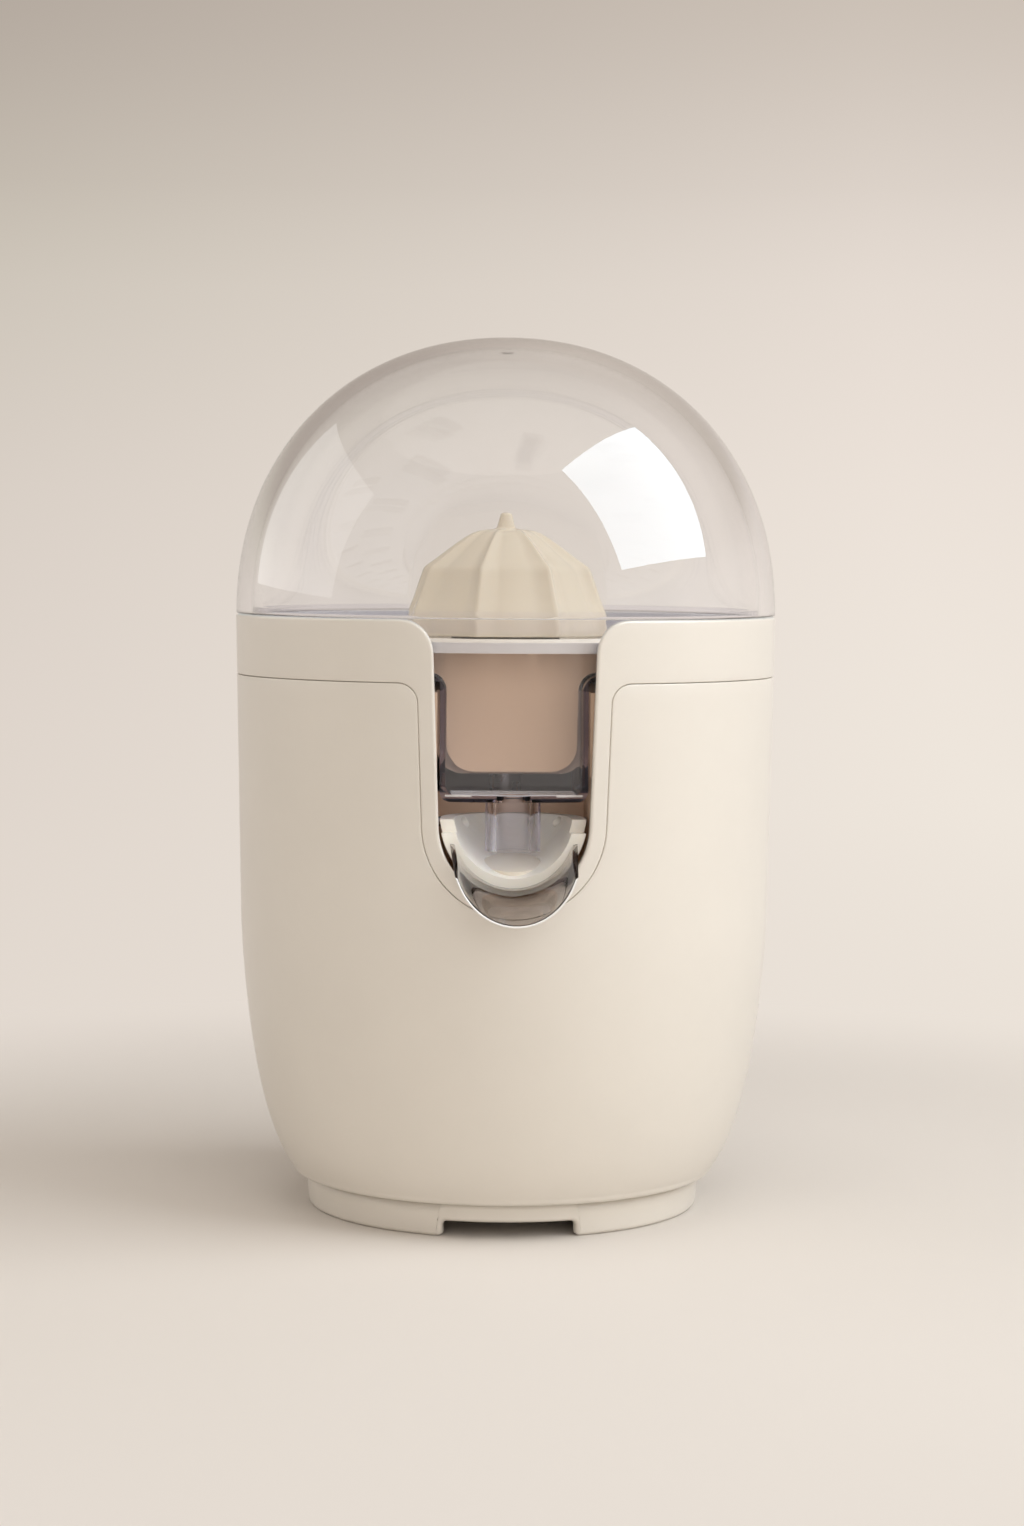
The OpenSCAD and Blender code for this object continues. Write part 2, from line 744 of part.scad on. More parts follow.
// Closed tube through equal rings of points.
module swept_tube(rings, sides) {
    last = len(rings) - 1;
    polyhedron(
        points = [for (r = rings) each r],
        faces = concat(
            [[for (k = [0 : sides - 1]) k]],
            [for (i = [0 : last - 1], k = [0 : sides - 1])
                let (n = (k + 1) % sides, a = i * sides, b = a + sides)
                each [[a + k, b + k, b + n], [a + k, b + n, a + n]]],
            [[for (k = [sides - 1 : -1 : 0]) last * sides + k]]
        )
    );
}

// ---------- electrics on the base ----------

block_w = 26;
block_len = 11;
block_pitch = 8;
block_hole_z = foot_h + 4.5;
block_y = sqrt(pow(shelf_r - 0.5, 2) - pow(block_w / 2, 2)) - block_len;
module terminal_block() {
    color([0.9, 0.9, 0.87]) difference() {
        translate([-block_w / 2, block_y, foot_h]) cube([block_w, block_len, 12]);
        for (x = [-block_pitch, 0, block_pitch]) {
            translate([x, block_y - 1, block_hole_z])
                rotate([-90, 0, 0]) cylinder(r = 1.9, h = block_len + 2);
            translate([x, block_y + block_len / 2, foot_h + 7]) cylinder(r = 2.2, h = 6);
        }
    }
}

module suppression_capacitor() {
    color([0.85, 0.65, 0.15]) translate([-36, 12, foot_h]) cube([9, 18, 15]);
}

module cable_gland() {
    color(black) translate([0, 0, gland_z]) rotate([-90, 0, 0]) difference() {
        union() {
            translate([0, 0, gland_in]) cylinder(r = gland_r, h = gland_out - gland_in);
            translate([0, 0, gland_out - 2]) cylinder(r = gland_r + 2.5, h = 2);
            translate([0, 0, gland_in]) cylinder(r = gland_r + 2.5, h = 2.2);
        }
        translate([0, 0, gland_in - 1]) cylinder(r = 3.6, h = far);
    }
}
gland_out = side_r(gland_z + gland_r + 2.5) + 2.4;
gland_in = side_r(gland_z - gland_r - 2.5) - shell_wall - 2.8;

module wire_loom() {
    wire_r = 1.5;
    sides = 8;
    route = [
        [block_pitch, block_y, block_hole_z], [block_pitch + 5, block_y - 6, block_hole_z],
        [38, 22, 24], [43, 4, 42], [43, -14, cover_top - 12],
        [27, -30, cover_top + 2], [17, -switch_y, cover_top + 4], [10, -switch_y, cover_top + 4]
    ];
    last = len(route) - 1;
    rings = [for (i = [0 : last]) let (
        run = route[min(i + 1, last)] - route[max(i - 1, 0)],
        along = run / norm(run),
        side = cross(along, [0.3, 0.2, 1]) / norm(cross(along, [0.3, 0.2, 1])),
        up = cross(side, along))
        [for (k = [0 : sides - 1]) let (b = k * 360 / sides)
            route[i] + wire_r * (cos(b) * side + sin(b) * up)]];
    color([0.55, 0.3, 0.2]) swept_tube(rings, sides);
}

// ---------- bowl, strainer and lid ----------

module channel_outline(inset) {
    corner = 3;
    half = channel_w / 2 - inset;
    low = channel_z + inset;
    high = bowl_floor_z + 0.5;
    translate([-half, low + corner]) square([2 * half, high - low - corner]);
    translate([-half + corner, low]) square([2 * (half - corner), corner + 1]);
    for (s = [-1, 1]) translate([s * (half - corner), low + corner]) circle(r = corner);
}

chimney_r = tower_r + 1.5;
chimney_top = rim_z - 7.9;
module juice_bowl() {
    step_z = strainer_z - seat;
    upstand_r = body_r - lid_wall - loose;
    in_r = bowl_r - bowl_wall;
    color(clear) difference() {
        union() {
            rotate_extrude() polygon([
                [0, bowl_under_z], [bowl_r, bowl_under_z], [bowl_r, ledge_z + seat],
                [flange_r, ledge_z + seat], [flange_r, rim_z - seat],
                [upstand_r, rim_z - seat], [upstand_r, rim_z + upstand_h],
                [in_r, rim_z + upstand_h], [in_r, step_z], [in_r - 1.5, step_z],
                [in_r - 1.5, bowl_floor_z + 3], [in_r - 4.5, bowl_floor_z],
                [chimney_r + bowl_wall, bowl_floor_z], [chimney_r + bowl_wall, chimney_top], [0, chimney_top]
            ]);
            intersection() {
                cylinder(r = bowl_r, h = far);
                to_front(far, channel_back) channel_outline(0);
            }
            translate([0, -nozzle_y, nozzle_z]) cylinder(r = nozzle_r, h = nozzle_len + 1);
        }
        translate([0, 0, bowl_under_z - 1]) cylinder(r = chimney_r, h = far);
        intersection() {
            translate([0, 0, channel_z]) cylinder(r = in_r, h = far);
            to_front(far, channel_back + bowl_wall) {
                channel_outline(bowl_wall);
                translate([-slot_half - flare, bowl_floor_z])
                    square([2 * (slot_half + flare), step_z - bowl_floor_z]);
                for (s = [-1, 1]) scale([s, 1]) difference() {
                    translate([slot_half - 1, bowl_floor_z - flare]) square([flare + 1, flare + 0.5]);
                    translate([slot_half + flare, bowl_floor_z - flare]) circle(r = flare);
                }
            }
        }
        translate([0, -nozzle_y, nozzle_z - 1]) cylinder(r = nozzle_bore_r, h = nozzle_len + 4);
    }
}

module slot_ring(radius, length, start) {
    around(slot_count, radius, start) translate([-length / 2, -slot_w / 2, strainer_z - 1])
        cube([length, slot_w, strainer_t + 2]);
}

// Baffle that hangs from the strainer in front of the channel's back wall, with round lower corners.
module baffle() {
    corner = 8;
    half = slot_half - 2 * loose;
    wide = slot_half + flare;
    top = strainer_z + 0.5;
    low = channel_z + bowl_wall + baffle_gap;
    back = channel_back + bowl_wall + loose;
    to_front(back + 1.5, back) polygon(concat(
        [[-wide, top]],
        arc(-wide, bowl_floor_z - flare, flare + 2 * loose, 90, 0, 6),
        arc(-half + corner, low + corner, corner, 180, 270, 8),
        arc(half - corner, low + corner, corner, 270, 360, 8),
        arc(wide, bowl_floor_z - flare, flare + 2 * loose, 180, 90, 6),
        [[wide, top]]
    ));
}

module strainer() {
    rim_r = bowl_r - bowl_wall - loose;
    hub = chimney_r + bowl_wall + loose;
    slot = 12;
    color(cream) union() {
        difference() {
            union() {
                ring(rim_r, hub, strainer_z, strainer_z + strainer_t);
                ring(rim_r, rim_r - 1.8, strainer_z, strainer_z + strainer_rim_h);
                ring(hub + 2, hub, strainer_z, strainer_z + 4);
                ring(reamer_r + 3.4, reamer_r + 1.6, strainer_z, strainer_z + strainer_rim_h);
            }
            slot_ring(reamer_r + 7.4 + slot / 2, slot, 0);
            slot_ring(rim_r - 8.4 - slot / 2, slot, 180 / slot_count);
        }
        baffle();
    }
}

module lid_dome() {
    n = 14;
    in_r = body_r - lid_wall;
    in_h = lid_h - lid_top_wall;
    color(clear) rotate_extrude() polygon(concat(
        [for (i = [0 : n]) dome_point(body_r, lid_h, i / n)],
        [for (i = [n : -1 : 0]) dome_point(in_r, in_h, i / n)]
    ));
}

// Point of the dome's superellipse, from the rim at t = 0 to the top at t = 1.
function dome_point(r, h, t) = let (a = 90 * t)
    [r * pow(cos(a), 2 / lid_power), rim_z + h * pow(sin(a), 2 / lid_power)];

// ---------- reamer ----------

reamer_z = rim_z - 6.2;
// Height above the reamer's base and radius of the ridges, as shares of its height and radius.
reamer_line = [
    [0, 1], [0.22, 0.985], [0.45, 0.9], [0.655, 0.828],
    [0.77, 0.672], [0.87, 0.528], [0.97, 0.36], [1, 0.27]
];

function ridge_ring(h, share) = let (
    r = reamer_r * share, z = reamer_z + reamer_h * h,
    depth = flute_depth * (share > 0.5 ? 1 : share * 1.6))
    [for (i = [0 : ridge_count * 4 - 1])
        let (a = i * 90 / ridge_count - 65, rim = r - depth * [0, 0.88, 1, 0.88][i % 4])
        [rim * cos(a), rim * sin(a), z]];

module reamer() {
    sides = ridge_count * 4;
    wall = 2.4;
    tip_r = 2.7;
    hollow_top = reamer_z + reamer_h * 0.83;
    hollow = [for (p = reamer_line) if (p[0] < 0.8)
        [reamer_r * p[1] - flute_depth - wall, reamer_z + reamer_h * p[0]]];
    color(cream) difference() {
        union() {
            swept_tube([for (p = reamer_line) ridge_ring(p[0], p[1])], sides);
            translate([0, 0, reamer_z + reamer_h - 0.5]) cylinder(r1 = tip_r, r2 = 1.8, h = tip_h - 1.3);
            translate([0, 0, reamer_z + reamer_h + tip_h - 1.8]) sphere(r = 1.8);
        }
        rotate_extrude() polygon(concat(
            [[0, reamer_z - 1], [hollow[0][0], reamer_z - 1]], hollow,
            [[hub_r + 2, hollow_top], [0, hollow_top]]
        ));
    }
}

module reamer_hub() {
    base = reamer_z - 1.8;
    color(cream) difference() {
        translate([0, 0, base]) cylinder(r = hub_r, h = reamer_z + reamer_h * 0.83 - base - 0.01);
        translate([0, 0, base - 1]) cylinder(r = shaft_r + fit, h = hex_z + hex_h + 1.7 - base, $fn = 6);
    }
}

// ---------- spout ----------

// Puts its children on an axis that slopes down to the front from the trough's front edge.
module on_spout(slope = spout_slope) {
    translate([0, -spout_front, spout_axis_z]) rotate([slope, 0, 0]) children();
}

// Trough from in front of its edge back to its round end, as a solid of radius r.
module spout_volume(r, front) {
    on_spout() rotate([-90, 0, 0]) rotate_extrude()
        polygon(concat([[0, -front], [r, -front]], arc(0, trough_len, r, 0, 90, 12)));
}

// Frame of the pad: its origin is the middle of the pad's top face.
module pad_frame() {
    translate([0, -hinge_y - pad_back, hinge_z - pad_drop]) rotate([spout_slope, 0, 0]) children();
}

module spout_trough() {
    color(cream) difference() {
        spout_volume(spout_r, 8);
        spout_volume(trough_r, 12);
        translate([-far / 2, -far, wall_top_z]) cube(far);
        translate([-far / 2, -spout_front + ear_len - far, ear_z]) cube(far);
        translate([-far / 2, -spout_front - far, 0]) cube(far);
        pad_frame() translate([0, 0, -drip_pad_t])
            cylinder(r = drip_pad_r + screw_fit, h = drip_pad_t + 8);
        translate([-far / 2, -hinge_y, hinge_z]) rotate([0, 90, 0]) cylinder(r = pin_r, h = far);
    }
}

module drip_pad() {
    color([0.93, 0.92, 0.9]) pad_frame() translate([0, 0, -drip_pad_t])
        cylinder(r = drip_pad_r, h = drip_pad_t);
}

module spout_lip() {
    top = ear_z - 2.7;
    length = lip_reach * 1.3 + 5;
    tip_r = lip_r - lip_taper * (lip_reach + 5) / length;
    axis_z = spout_axis_z - lip_drop;
    tip_z = axis_z - lip_reach * tan(lip_slope) - tip_r / cos(lip_slope);
    color(clear) difference() {
        translate([0, -spout_front, axis_z]) rotate([lip_slope, 0, 0]) difference() {
            lip_cone(0, length);
            lip_cone(lip_wall, length);
            translate([-far / 2, -far, (top - axis_z) * cos(lip_slope)]) cube(far);
        }
        translate([-far / 2, -spout_front, 0]) cube(far);
        translate([-far / 2, -far, top]) cube(far);
        translate([0, -spout_front - lip_reach, tip_z]) rotate([-12, 0, 0])
            translate([-far / 2, -far, -far / 2]) cube(far);
    }
}

// Cone that narrows to the front, from 5 behind the trough's front edge.
module lip_cone(inset, length) {
    translate([0, 5 + inset, 0]) rotate([90, 0, 0])
        cylinder(r1 = lip_r - inset, r2 = lip_r - lip_taper - inset, h = length + 2 * inset);
}

module spout_pins() {
    color(steel) for (s = [-1, 1]) scale([s, 1, 1]) translate([trough_r + 0.5, -hinge_y, hinge_z])
        rotate([0, 90, 0]) cylinder(r = pin_r, h = tunnel_r + tunnel_wall - trough_r - 0.5);
}

body_shell();
collar();
base_plate();
rubber_feet();
base_screws();
deck();
deck_screws();
hanger_screws();
deck_bush();
shaft_seal();
spout_cradle();
cradle_screws();
motor_can();
motor_end_cap();
stator_core();
stator_coils();
motor_bushes();
motor_screws();
gearbox_tray();
gearbox_cover();
gearbox_screws();
idler_pin();
output_bush();
microswitch();
terminal_block();
suppression_capacitor();
cable_gland();
wire_loom();
return_spring();
motor_shaft();
rotor_core();
motor_pinion();
idler_gear();
output_gear();
gear_clip();
drive_shaft();
thrust_washer();
press_plate();
switch_button();
juice_bowl();
strainer();
reamer();
reamer_hub();
lid_dome();
spout_trough();
spout_lip();
drip_pad();
spout_pins();
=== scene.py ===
import json
import math

import bpy
from mathutils import Matrix, Vector


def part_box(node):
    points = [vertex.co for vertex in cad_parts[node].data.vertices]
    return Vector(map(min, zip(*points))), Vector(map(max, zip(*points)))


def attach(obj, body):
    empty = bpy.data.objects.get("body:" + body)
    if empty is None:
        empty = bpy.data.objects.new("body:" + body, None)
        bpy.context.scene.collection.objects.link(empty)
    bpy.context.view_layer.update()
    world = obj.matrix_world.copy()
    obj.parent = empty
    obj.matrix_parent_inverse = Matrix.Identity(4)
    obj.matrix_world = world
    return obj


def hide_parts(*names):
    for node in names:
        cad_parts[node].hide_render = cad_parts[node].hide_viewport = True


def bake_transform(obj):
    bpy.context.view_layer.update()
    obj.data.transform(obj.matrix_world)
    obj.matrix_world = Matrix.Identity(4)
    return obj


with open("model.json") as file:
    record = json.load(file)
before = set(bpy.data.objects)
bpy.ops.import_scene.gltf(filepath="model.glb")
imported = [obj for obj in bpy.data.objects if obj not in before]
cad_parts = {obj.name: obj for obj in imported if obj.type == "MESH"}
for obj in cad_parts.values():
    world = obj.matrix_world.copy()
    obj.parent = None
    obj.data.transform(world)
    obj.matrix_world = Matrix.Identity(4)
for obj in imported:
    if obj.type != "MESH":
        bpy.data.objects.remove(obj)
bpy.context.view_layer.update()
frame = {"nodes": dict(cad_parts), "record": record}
nodes = frame["nodes"]

# Shapes are worked out in millimetres, with Z up, X to the right and the front towards -Y. Angles round the
# axis start at the front and go towards the right.
MM = 0.001


def box_mm(node):
    """Lowest and highest corner of a CAD node, in millimetres."""
    lo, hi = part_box(node)
    return [v / MM for v in lo], [v / MM for v in hi]


def lerp(a, b, t):
    return a + (b - a) * t


def smooth(t):
    """0 to 1 with a soft start and end."""
    t = min(1.0, max(0.0, t))
    return t * t * (3 - 2 * t)


# ---------------------------------------------------------------- main sizes
collar_hi = box_mm("collar")[1]
base_hi = box_mm("base_plate")[1]
reamer_lo, reamer_hi = box_mm("reamer")
BODY_R, RIM_Z = collar_hi[0], collar_hi[2]
FOOT_R, FOOT_H = base_hi[0], base_hi[2]
LID_TOP = box_mm("lid_dome")[1][2]

# Side of the body: its wall, the height where it starts to curve in, the height where that curve would reach
# the axis, the taper above it, and the two powers of the curve.
WALL = 2.8
CURVE_Z, CURVE_END = 94.0, 1.5
TAPER = 1.6
CURVE_IN, CURVE_OUT = 1.5, 0.125
# Seam between the collar and the body, and its gap.
SEAM_Z = RIM_Z - 18.3
GAP = 0.22
# Opening at the front: centre and radius of its round bottom, width of the collar's band round it and lean of
# its sides, then the corners where the opening and the seam turn into the ring.
OPEN_Z = RIM_Z - 59.3
OPEN_R, BAND_W = 22.1, 4.7
LEAN = math.radians(2)
OPEN_CORNER, SEAM_CORNER = 10, 6
# Radius of the first or last row of a shape that is closed on the axis.
TIP_R = 0.01


def side_r(z):
    """Radius of the body's side at a height."""
    if z >= CURVE_Z:
        return BODY_R - TAPER * (RIM_Z - z) / (RIM_Z - CURVE_Z)
    t = (CURVE_Z - z) / (CURVE_Z - CURVE_END)
    return (BODY_R - TAPER) * max(1 - t ** CURVE_IN, 1e-6) ** CURVE_OUT


# ---------------------------------------------------------------- shader nodes
def srgb(r, g, b):
    """Linear colour from display values between 0 and 255."""
    def linear(c):
        c /= 255
        return c / 12.92 if c <= 0.04045 else ((c + 0.055) / 1.055) ** 2.4
    return (linear(r), linear(g), linear(b), 1.0)


def shade(c, k):
    return (min(1, c[0] * k), min(1, c[1] * k), min(1, c[2] * k), 1.0)


class Graph:
    """The shader nodes of a material or of the world."""

    def __init__(self, owner):
        owner.use_nodes = True
        self.nodes = owner.node_tree.nodes
        self.links = owner.node_tree.links
        self.nodes.clear()

    def node(self, kind, **inputs):
        n = self.nodes.new("ShaderNode" + kind)
        for name, value in inputs.items():
            n.inputs[name.replace("_", " ")].default_value = value
        return n

    def join(self, output, socket):
        self.links.new(output, socket)

    def noise(self, where, scale, detail, roughness=0.5):
        n = self.node("TexNoise", Scale=scale, Detail=detail, Roughness=roughness)
        self.join(where, n.inputs["Vector"])
        return n.outputs["Fac"]

    def axes(self, where):
        n = self.node("SeparateXYZ")
        self.join(where, n.inputs["Vector"])
        return n.outputs

    def maths(self, operation, *terms):
        n = self.node("Math")
        n.operation = operation
        for i, term in enumerate(terms):
            if isinstance(term, float):
                n.inputs[i].default_value = term
            else:
                self.join(term, n.inputs[i])
        return n.outputs["Value"]

    def ranged(self, value, lo, hi, to_lo=0.0, to_hi=1.0, smooth_step=False):
        """A value between lo and hi, carried over to between to_lo and to_hi."""
        n = self.node("MapRange", From_Min=lo, From_Max=hi, To_Min=to_lo, To_Max=to_hi)
        n.interpolation_type = "SMOOTHSTEP" if smooth_step else "LINEAR"
        self.join(value, n.inputs["Value"])
        return n.outputs["Result"]

    def two_tones(self, value, lo, hi, low_colour, high_colour):
        """Colour that goes from one tone to the other while the value goes from lo to hi."""
        n = self.node("ValToRGB")
        low, high = n.color_ramp.elements
        low.position, high.position = lo, hi
        low.color, high.color = low_colour, high_colour
        self.join(value, n.inputs["Fac"])
        return n.outputs["Color"]

    def covered(self, base, factor, colour):
        """Colour base with a plain colour over it, by a factor."""
        n = self.node("Mix")
        n.data_type = "RGBA"
        n.inputs["B"].default_value = colour
        self.join(factor, n.inputs["Factor"])
        self.join(base, n.inputs["A"])
        return n.outputs["Result"]

    def mixed(self, factor, first, second):
        """Shader between two shaders, by a factor."""
        n = self.node("MixShader")
        self.join(factor, n.inputs["Fac"])
        self.join(first, n.inputs[1])
        self.join(second, n.inputs[2])
        return n.outputs["Shader"]

    def bump(self, shader, height, strength, distance):
        n = self.node("Bump", Strength=strength, Distance=distance)
        self.join(height, n.inputs["Height"])
        self.join(n.outputs["Normal"], shader.inputs["Normal"])

    def looked_at(self, rays):
        """1 for rays that look at something directly, in a reflection or through something clear."""
        indirect = self.maths("MAXIMUM", rays["Is Glossy Ray"], rays["Is Transmission Ray"])
        return self.maths("MAXIMUM", rays["Is Camera Ray"], indirect)


# ---------------------------------------------------------------- the two kinds of material
COAT_ROUGH = 0.12
# How far red, green and blue light goes under the surface of milky plastic, in metres.
MILKY_REACH = (0.004, 0.003, 0.002)
# Dust: scale of its noise, between which values it shows, and its tone against the colour.
DUST_SCALE = 2600.0
DUST_FROM, DUST_TO = 0.66, 0.74
DUST_TONE = 0.82
# Roughness varies on a finer scale than colour.
FINER = 3.1
# Half the height over which a second colour sets in, in millimetres.
SET_IN = 0.4


def principled(name, colour, rough, metallic=0.0, mottle=0.03, mottle_scale=35.0, rough_var=0.05,
               grain=0.0, grain_scale=900.0, dust=0.0, coat=0.0, ior=1.5, waves=None, sss=0.0,
               below=None):
    """Solid material, all from noise in object space: mottle of the colour, variation of the roughness, and a
    bump that is grain high. Waves (axis, scale, height) are a bump of even bands. Below (height, colour) is a
    second colour under a height in millimetres."""
    material = bpy.data.materials.new(name)
    g = Graph(material)
    p = g.node("BsdfPrincipled", Metallic=metallic, IOR=ior)
    if coat:
        p.inputs["Coat Weight"].default_value = coat
        p.inputs["Coat Roughness"].default_value = COAT_ROUGH
    if sss:
        p.inputs["Subsurface Weight"].default_value = sss
        p.inputs["Subsurface Radius"].default_value = MILKY_REACH
        p.inputs["Subsurface Scale"].default_value = 1.0
    where = g.node("TexCoord").outputs["Object"]
    base = g.two_tones(g.noise(where, mottle_scale, 4.0, 0.6), 0.3, 0.7,
                       shade(colour, 1 - mottle), shade(colour, 1 + mottle))
    if dust:
        specks = g.two_tones(g.noise(where, DUST_SCALE, 2.0), DUST_FROM, DUST_TO,
                             (0, 0, 0, 1), (dust, dust, dust, 1))
        base = g.covered(base, specks, shade(colour, DUST_TONE))
    if below:
        height, low_colour = below
        low = g.ranged(g.axes(where)["Z"], (height + SET_IN) * MM, (height - SET_IN) * MM)
        base = g.covered(base, low, low_colour)
    g.join(base, p.inputs["Base Color"])
    fine = g.noise(where, mottle_scale * FINER, 5.0, 0.65)
    smoothest, roughest = max(0.02, rough - rough_var), min(1, rough + rough_var)
    g.join(g.ranged(fine, 0.3, 0.7, smoothest, roughest), p.inputs["Roughness"])
    if waves:
        axis, scale, wave_height = waves
        bands = g.node("TexWave", Scale=scale)
        bands.wave_type = "BANDS"
        bands.bands_direction = axis
        g.join(where, bands.inputs["Vector"])
        g.bump(p, bands.outputs["Fac"], 1.0, wave_height)
    elif grain:
        g.bump(p, g.noise(where, grain_scale, 3.0, 0.55), 1.0, grain)
    g.join(p.outputs["BSDF"], g.node("OutputMaterial").inputs["Surface"])
    return material


# Flow marks of clear moulded plastic: scale of their noise, strength and height of their bump, in metres.
FLOW_SCALE = 22.0
FLOW_STRENGTH, FLOW_HEIGHT = 0.25, 0.00006
# Painted highlight: the white that is painted into clear faces inside a box, and its share.
HIGHLIGHT_COLOUR, HIGHLIGHT_SHARE = (0.9, 0.88, 0.86, 1), 0.6


def clear(name, colour, rough, ior, shadow, haze, tint, density, coat=0.0, painted_highlight_box=None):
    """Clear moulded plastic: lamps reach what is behind it, its roughness has faint flow marks, and it takes
    its tint from how much plastic is looked through. The box given last (low and high X, Y and Z, in metres)
    is where its faces are partly painted white, a painted highlight."""
    material = bpy.data.materials.new(name)
    g = Graph(material)
    p = g.node("BsdfPrincipled", Base_Color=colour, Transmission_Weight=1.0, Coat_Weight=coat, IOR=ior)
    where = g.node("TexCoord").outputs["Object"]
    flow = g.noise(where, FLOW_SCALE, 3.0)
    g.join(g.ranged(flow, 0.35, 0.75, rough, rough + haze), p.inputs["Roughness"])
    g.bump(p, flow, FLOW_STRENGTH, FLOW_HEIGHT)
    surface = p.outputs["BSDF"]
    # Inside the box the faces are partly painted white, a painted highlight.
    if painted_highlight_box:
        xyz = g.axes(where)
        inside = HIGHLIGHT_SHARE
        for axis, (lo, hi) in zip("XYZ", painted_highlight_box):
            band = g.maths("COMPARE", xyz[axis], (lo + hi) / 2, (hi - lo) / 2)
            inside = g.maths("MULTIPLY", band, inside)
        white = g.node("BsdfDiffuse", Color=HIGHLIGHT_COLOUR)
        surface = g.mixed(inside, surface, white.outputs["BSDF"])
    through = g.node("BsdfTransparent", Color=(shadow, shadow, shadow, 1))
    rays = g.node("LightPath").outputs
    out = g.node("OutputMaterial")
    g.join(g.mixed(rays["Is Shadow Ray"], surface, through.outputs["BSDF"]), out.inputs["Surface"])
    depth = g.node("VolumeAbsorption", Color=tint, Density=density)
    g.join(depth.outputs["Volume"], out.inputs["Volume"])
    return material


# ---------------------------------------------------------------- materials
CREAM = srgb(230, 224, 214)
# The inner parts' cream is warmer and more tan than the body's. It is partly their own colour and partly
# painted warm shade for the recesses they sit in.
INNER = srgb(243, 212, 183)
WHITE = (1, 1, 1, 1)
LILAC, DEEP_LILAC, SMOKE = (0.6, 0.55, 0.75, 1), (0.5, 0.45, 0.7, 1), (0.5, 0.4, 0.34, 1)
# The strainer's lower part is painted in the inner parts' warm tan from this height down: painted shade where
# it is seen through the bowl's channel.
STRAINER_SHADE_TOP = RIM_Z - 10.1
# Painted highlight on the floor of the bowl's front channel: a thin box in which its faces are painted white.
# Low and high X, Y and Z, in metres.
CHANNEL_FLOOR_HIGHLIGHT = ((-0.02, 0.02), (-0.0765, -0.0572), (0.1329, 0.1335))

cream = principled("cream_moulded", CREAM, 0.33, mottle=0.012, rough_var=0.03, grain=0.000012,
                   grain_scale=1400, dust=0.10, coat=0.15)
cream_reamer = principled("cream_reamer", srgb(225, 212, 191), 0.12, ior=1.6, mottle=0.012, rough_var=0.03,
                          grain=0.00001, grain_scale=1600, sss=0.08)
# The spout trough is the body's cream plastic painted lighter: painted light for the shade it stands in, deep
# in the opening.
cream_trough_painted_light = principled("cream_trough_painted_light", srgb(254, 249, 238), 0.33, mottle=0.01, rough_var=0.03,
                          grain=0.000012, grain_scale=1400, sss=0.15)
# Inner parts: their cream with the painted warm shade of INNER.
inner_cream = principled("cream_inner_warm_shade", INNER, 0.42, mottle=0.015, rough_var=0.05, grain=0.00002,
                         grain_scale=1100, dust=0.06)
# The strainer is painted lighter than the body's cream, as painted light for the collar's shade. Below the
# height above, it takes the painted warm shade.
strainer_painted_light_and_shade = principled("cream_strainer_painted_light_and_shade", srgb(247, 240, 229), 0.4, mottle=0.012, rough_var=0.05,
                            grain=0.00001, grain_scale=1300, below=(STRAINER_SHADE_TOP, INNER))
lid_clear = clear("clear_lid", WHITE, 0.0, 1.585, 0.93, 0.004, LILAC, 4.0)
bowl_clear = clear("clear_bowl", WHITE, 0.0, 1.5, 0.97, 0.01, DEEP_LILAC, 42.0, painted_highlight_box=CHANNEL_FLOOR_HIGHLIGHT)
lip_clear = clear("smoky_lip", (0.99, 0.985, 0.98, 1), 0.0, 1.25, 0.9, 0.02, SMOKE, 500.0, coat=1.0)
# Pale paint for the round tip of the spout lip: a painted highlight.
lip_tip_painted_highlight = principled("lip_tip_painted_highlight", srgb(244, 242, 240), 0.25, mottle=0.01, grain=0.00001,
                        grain_scale=900, sss=0.1)
steel = principled("steel_turned", (0.62, 0.62, 0.63, 1), 0.28, metallic=1.0, mottle=0.05, mottle_scale=60,
                   rough_var=0.08, grain=0.000006, grain_scale=2400)
zinc = principled("steel_plated", (0.66, 0.66, 0.68, 1), 0.38, metallic=1.0, mottle=0.08, mottle_scale=90,
                  rough_var=0.1, grain=0.00001, grain_scale=1500)
iron = principled("iron_laminated", (0.32, 0.32, 0.34, 1), 0.5, metallic=1.0, mottle=0.1, mottle_scale=70,
                  rough_var=0.1, waves=("Z", 320.0, 0.00006))
copper = principled("copper_windings", (0.72, 0.32, 0.16, 1), 0.35, metallic=1.0, mottle=0.08,
                    mottle_scale=80, rough_var=0.08, waves=("Z", 240.0, 0.0002))
bronze = principled("bronze_sintered", (0.6, 0.42, 0.2, 1), 0.5, metallic=1.0, mottle=0.08,
                    mottle_scale=120, rough_var=0.1, grain=0.00003, grain_scale=2500)
acetal = principled("acetal_white", srgb(236, 235, 228), 0.4, mottle=0.015, grain=0.00001,
                    grain_scale=1200, sss=0.1)
rubber = principled("rubber_black", srgb(38, 37, 37), 0.75, mottle=0.1, mottle_scale=120, grain=0.00003,
                    grain_scale=1500)
silicone = principled("silicone_pale", srgb(247, 238, 223), 0.5, mottle=0.02, grain=0.00001,
                      grain_scale=900, sss=0.15)
black = principled("black_phenolic", srgb(44, 43, 44), 0.45, mottle=0.06, grain=0.00002, grain_scale=1300)
red = principled("red_button", srgb(168, 38, 30), 0.35, mottle=0.04, grain=0.00001)
yellow = principled("yellow_film", srgb(206, 160, 52), 0.3, mottle=0.05, grain=0.00001)
sleeve = principled("wire_sleeve", srgb(120, 72, 44), 0.5, mottle=0.06, waves=("Z", 400.0, 0.00003))

